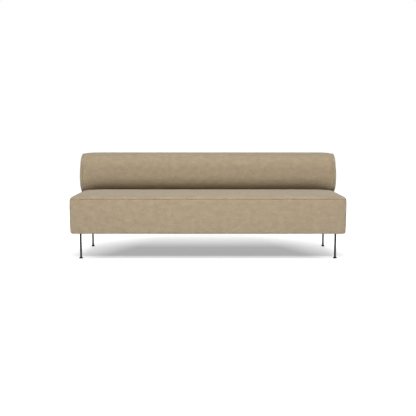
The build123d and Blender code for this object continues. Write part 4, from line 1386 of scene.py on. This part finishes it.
# ---------------------------------------------------------------- levelling glides
# outline of a glide: mm from its axis and mm up
FOOT_UNDERSIDE = ((0, 1.6), (11.4, 1.6), (11.55, 1.5), (11.55, 0.95), (11.7, 0.8), (13.1, 0.8), (13.4, 0.95))
FOOT_FLARE = ((13.5, 1.25), (13.5, 2.9), (13.35, 3.3), (13.1, 3.7), (7.3, 13.5), (7.0, 13.9), (6.6, 14.0))
STEM = ((3.3, 14.0), (2.5, 14.4), (2.5, 34.9), (2.2, 35.8), (1.9, 36.0), (0, 36.0))
STEM_ROOT, STEM_CREST, STEM_PITCH = 2.45 * MM, 2.98 * MM, 1 * MM
STEM_THREAD_LOW, STEM_THREAD_TOP = 13.6 * MM, 35 * MM

for corner in CORNERS:
    middle = sum(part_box(f"glide_{corner}"), Vector()) / 2
    foot = turned("glide", FOOT_UNDERSIDE + FOOT_FLARE + STEM, 48)
    winding = screw_thread(
        "thread", STEM_ROOT, STEM_CREST, STEM_PITCH, STEM_THREAD_LOW, STEM_THREAD_TOP, 24
    )
    glide = join(f"levelling_glide_{corner}", foot, winding)
    glide.data.transform(Matrix.Translation((middle.x, middle.y, 0)))
    smooth(glide, 40)
    dress(glide, BLACK_COAT, "black_steel", f"glide_{corner}", f"glide_{corner}")

# ---------------------------------------------------------------- finishes of the rigid pieces
FINISHES = {
    "seat_rail_front": PINE_ALONG_X,
    "seat_rail_back": PINE_ALONG_X,
    "seat_rail_left": PINE_ALONG_Y,
    "seat_rail_right": PINE_ALONG_Y,
    "cross_rail": PINE_ALONG_Y,
    "corner_block": PINE_UPRIGHT,
    "frame_dowels": BEECH,
    "back_board": PLYWOOD_BOARD,
    "back_rib": PLYWOOD_RIB,
    "back_bar": BLACK_COAT,
    "bar_bolts": ZINC,
    "bar_tee_nuts": ZINC,
    "rib_screws": ZINC,
    "leg_inserts": NYLON,
    "glide_pad": SLIP_PAD,
    "leg_": BLACK_COAT,
}
for name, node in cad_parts.items():
    material = next((material for start, material in FINISHES.items() if name.startswith(start)), None)
    if material:
        node.data.materials.clear()
        node.data.materials.append(material)

# ---------------------------------------------------------------- floor, backdrop and light
FLOOR_REACH = 30.0
FLOOR_WHITE = 0.9
WORLD_LIGHT = 0.05
# the floor's shadow is partly painted: these numbers shape a painted shadow laid over the lamps' own shadow
SHADOW_GLOW = 0.37  # light that the floor adds in the middle of the shadow
SHADOW_DIM = 0.6  # how much less of the lamps' light the floor shows there
SHADOW_MIDDLE_X, SHADOW_EDGE_X = 0.67, 0.67  # half width of the shadow's even middle, width of its soft edge
SHADOW_NARROWING = 0.5  # of that half width, for each metre backwards
SHADOW_FRONT_Y, SHADOW_FRONT_EDGE = -0.25, 0.15
SHADOW_BACK_Y, SHADOW_BACK_EDGE = 0.2, 0.95


def painted_shadow_strength(n):
    """Strength of the painted shadow: from 1 under the middle of the sofa to 0 where the floor is as white as
    the backdrop.
    """
    x, y, _ = n.split(n.object_place())
    inner = n.minus(n.math("ABSOLUTE", x), SHADOW_MIDDLE_X)
    beside = n.math("MAXIMUM", n.math("MULTIPLY_ADD", y, SHADOW_NARROWING, inner), 0.0)
    behind = n.math("DIVIDE", n.minus(y, SHADOW_BACK_Y), SHADOW_BACK_EDGE)
    before = n.math("DIVIDE", n.minus(SHADOW_FRONT_Y, y), SHADOW_FRONT_EDGE)
    beyond = n.math("MAXIMUM", n.math("MAXIMUM", behind, before), 0.0)
    sideways = n.math("POWER", n.math("DIVIDE", beside, SHADOW_EDGE_X), 2.0)
    outward = n.math("SQRT", n.plus(sideways, n.math("POWER", beyond, 2.0)))
    return n.math("MAXIMUM", n.minus(1.0, outward), 0.0)


def floor_material():
    """White floor that keeps the sofa's real shadow, adds a painted shadow under it in what is seen, and goes
    over into the white backdrop.
    """
    material, n, shader = new_material("white_floor")
    seen = n.seen()
    painted_shadow = painted_shadow_strength(n)
    # painted shadow: under the sofa the floor's seen colour is darker and its glow weaker
    white = n.math("MULTIPLY_ADD", n.times(painted_shadow, seen), -SHADOW_DIM * FLOOR_WHITE, FLOOR_WHITE)
    glow = n.math("MULTIPLY_ADD", painted_shadow, SHADOW_GLOW - 1.0, 1.0)
    n.feed(shader.inputs["Base Color"], n.combine(white, white, white))
    n.feed(shader.inputs["Emission Strength"], n.times(seen, glow))
    shader.inputs["Emission Color"].default_value = (1.0, 1.0, 1.0, 1.0)
    shader.inputs["Roughness"].default_value = 1.0
    shader.inputs["Specular IOR Level"].default_value = 0.0
    return material


def soft_box(name, place, target, size, power):
    """Large rectangular lamp that points at a place."""
    lamp = bpy.data.lights.new(name, "AREA")
    lamp.shape = "RECTANGLE"
    lamp.size, lamp.size_y = size
    lamp.energy = power
    holder = new_object(name, lamp)
    holder.location = place
    holder.rotation_euler = (Vector(target) - Vector(place)).to_track_quat("-Z", "Y").to_euler()


floor = primitive(bpy.ops.mesh.primitive_plane_add, size=2 * FLOOR_REACH, location=(0, 0, 0))
floor.name = "floor"
floor.data.materials.append(floor_material())

world = bpy.data.worlds.new("studio")
bpy.context.scene.world = world
world.use_nodes = True
studio = Nodes(world.node_tree)
background = world.node_tree.nodes["Background"]
background.inputs["Color"].default_value = (1.0, 1.0, 1.0, 1.0)
studio.feed(background.inputs["Strength"], studio.math("MAXIMUM", studio.seen(), WORLD_LIGHT))

soft_box("key", place=(0.0, -3.0, 3.5), target=(0.0, 0.0, 0.4), size=(5.0, 1.0), power=272.0)
soft_box("back_fill", place=(0.0, 3.0, 1.1), target=(0.0, 0.3, 0.4), size=(4.0, 0.6), power=32.0)
for _, toward in SIDES:
    place, target = (3.5 * toward, 0.6, 1.1), (1.0 * toward, 0.0, 0.4)
    soft_box("side_fill", place, target, size=(1.2, 0.6), power=5.0)

bpy.context.scene.view_settings.view_transform = "Standard"
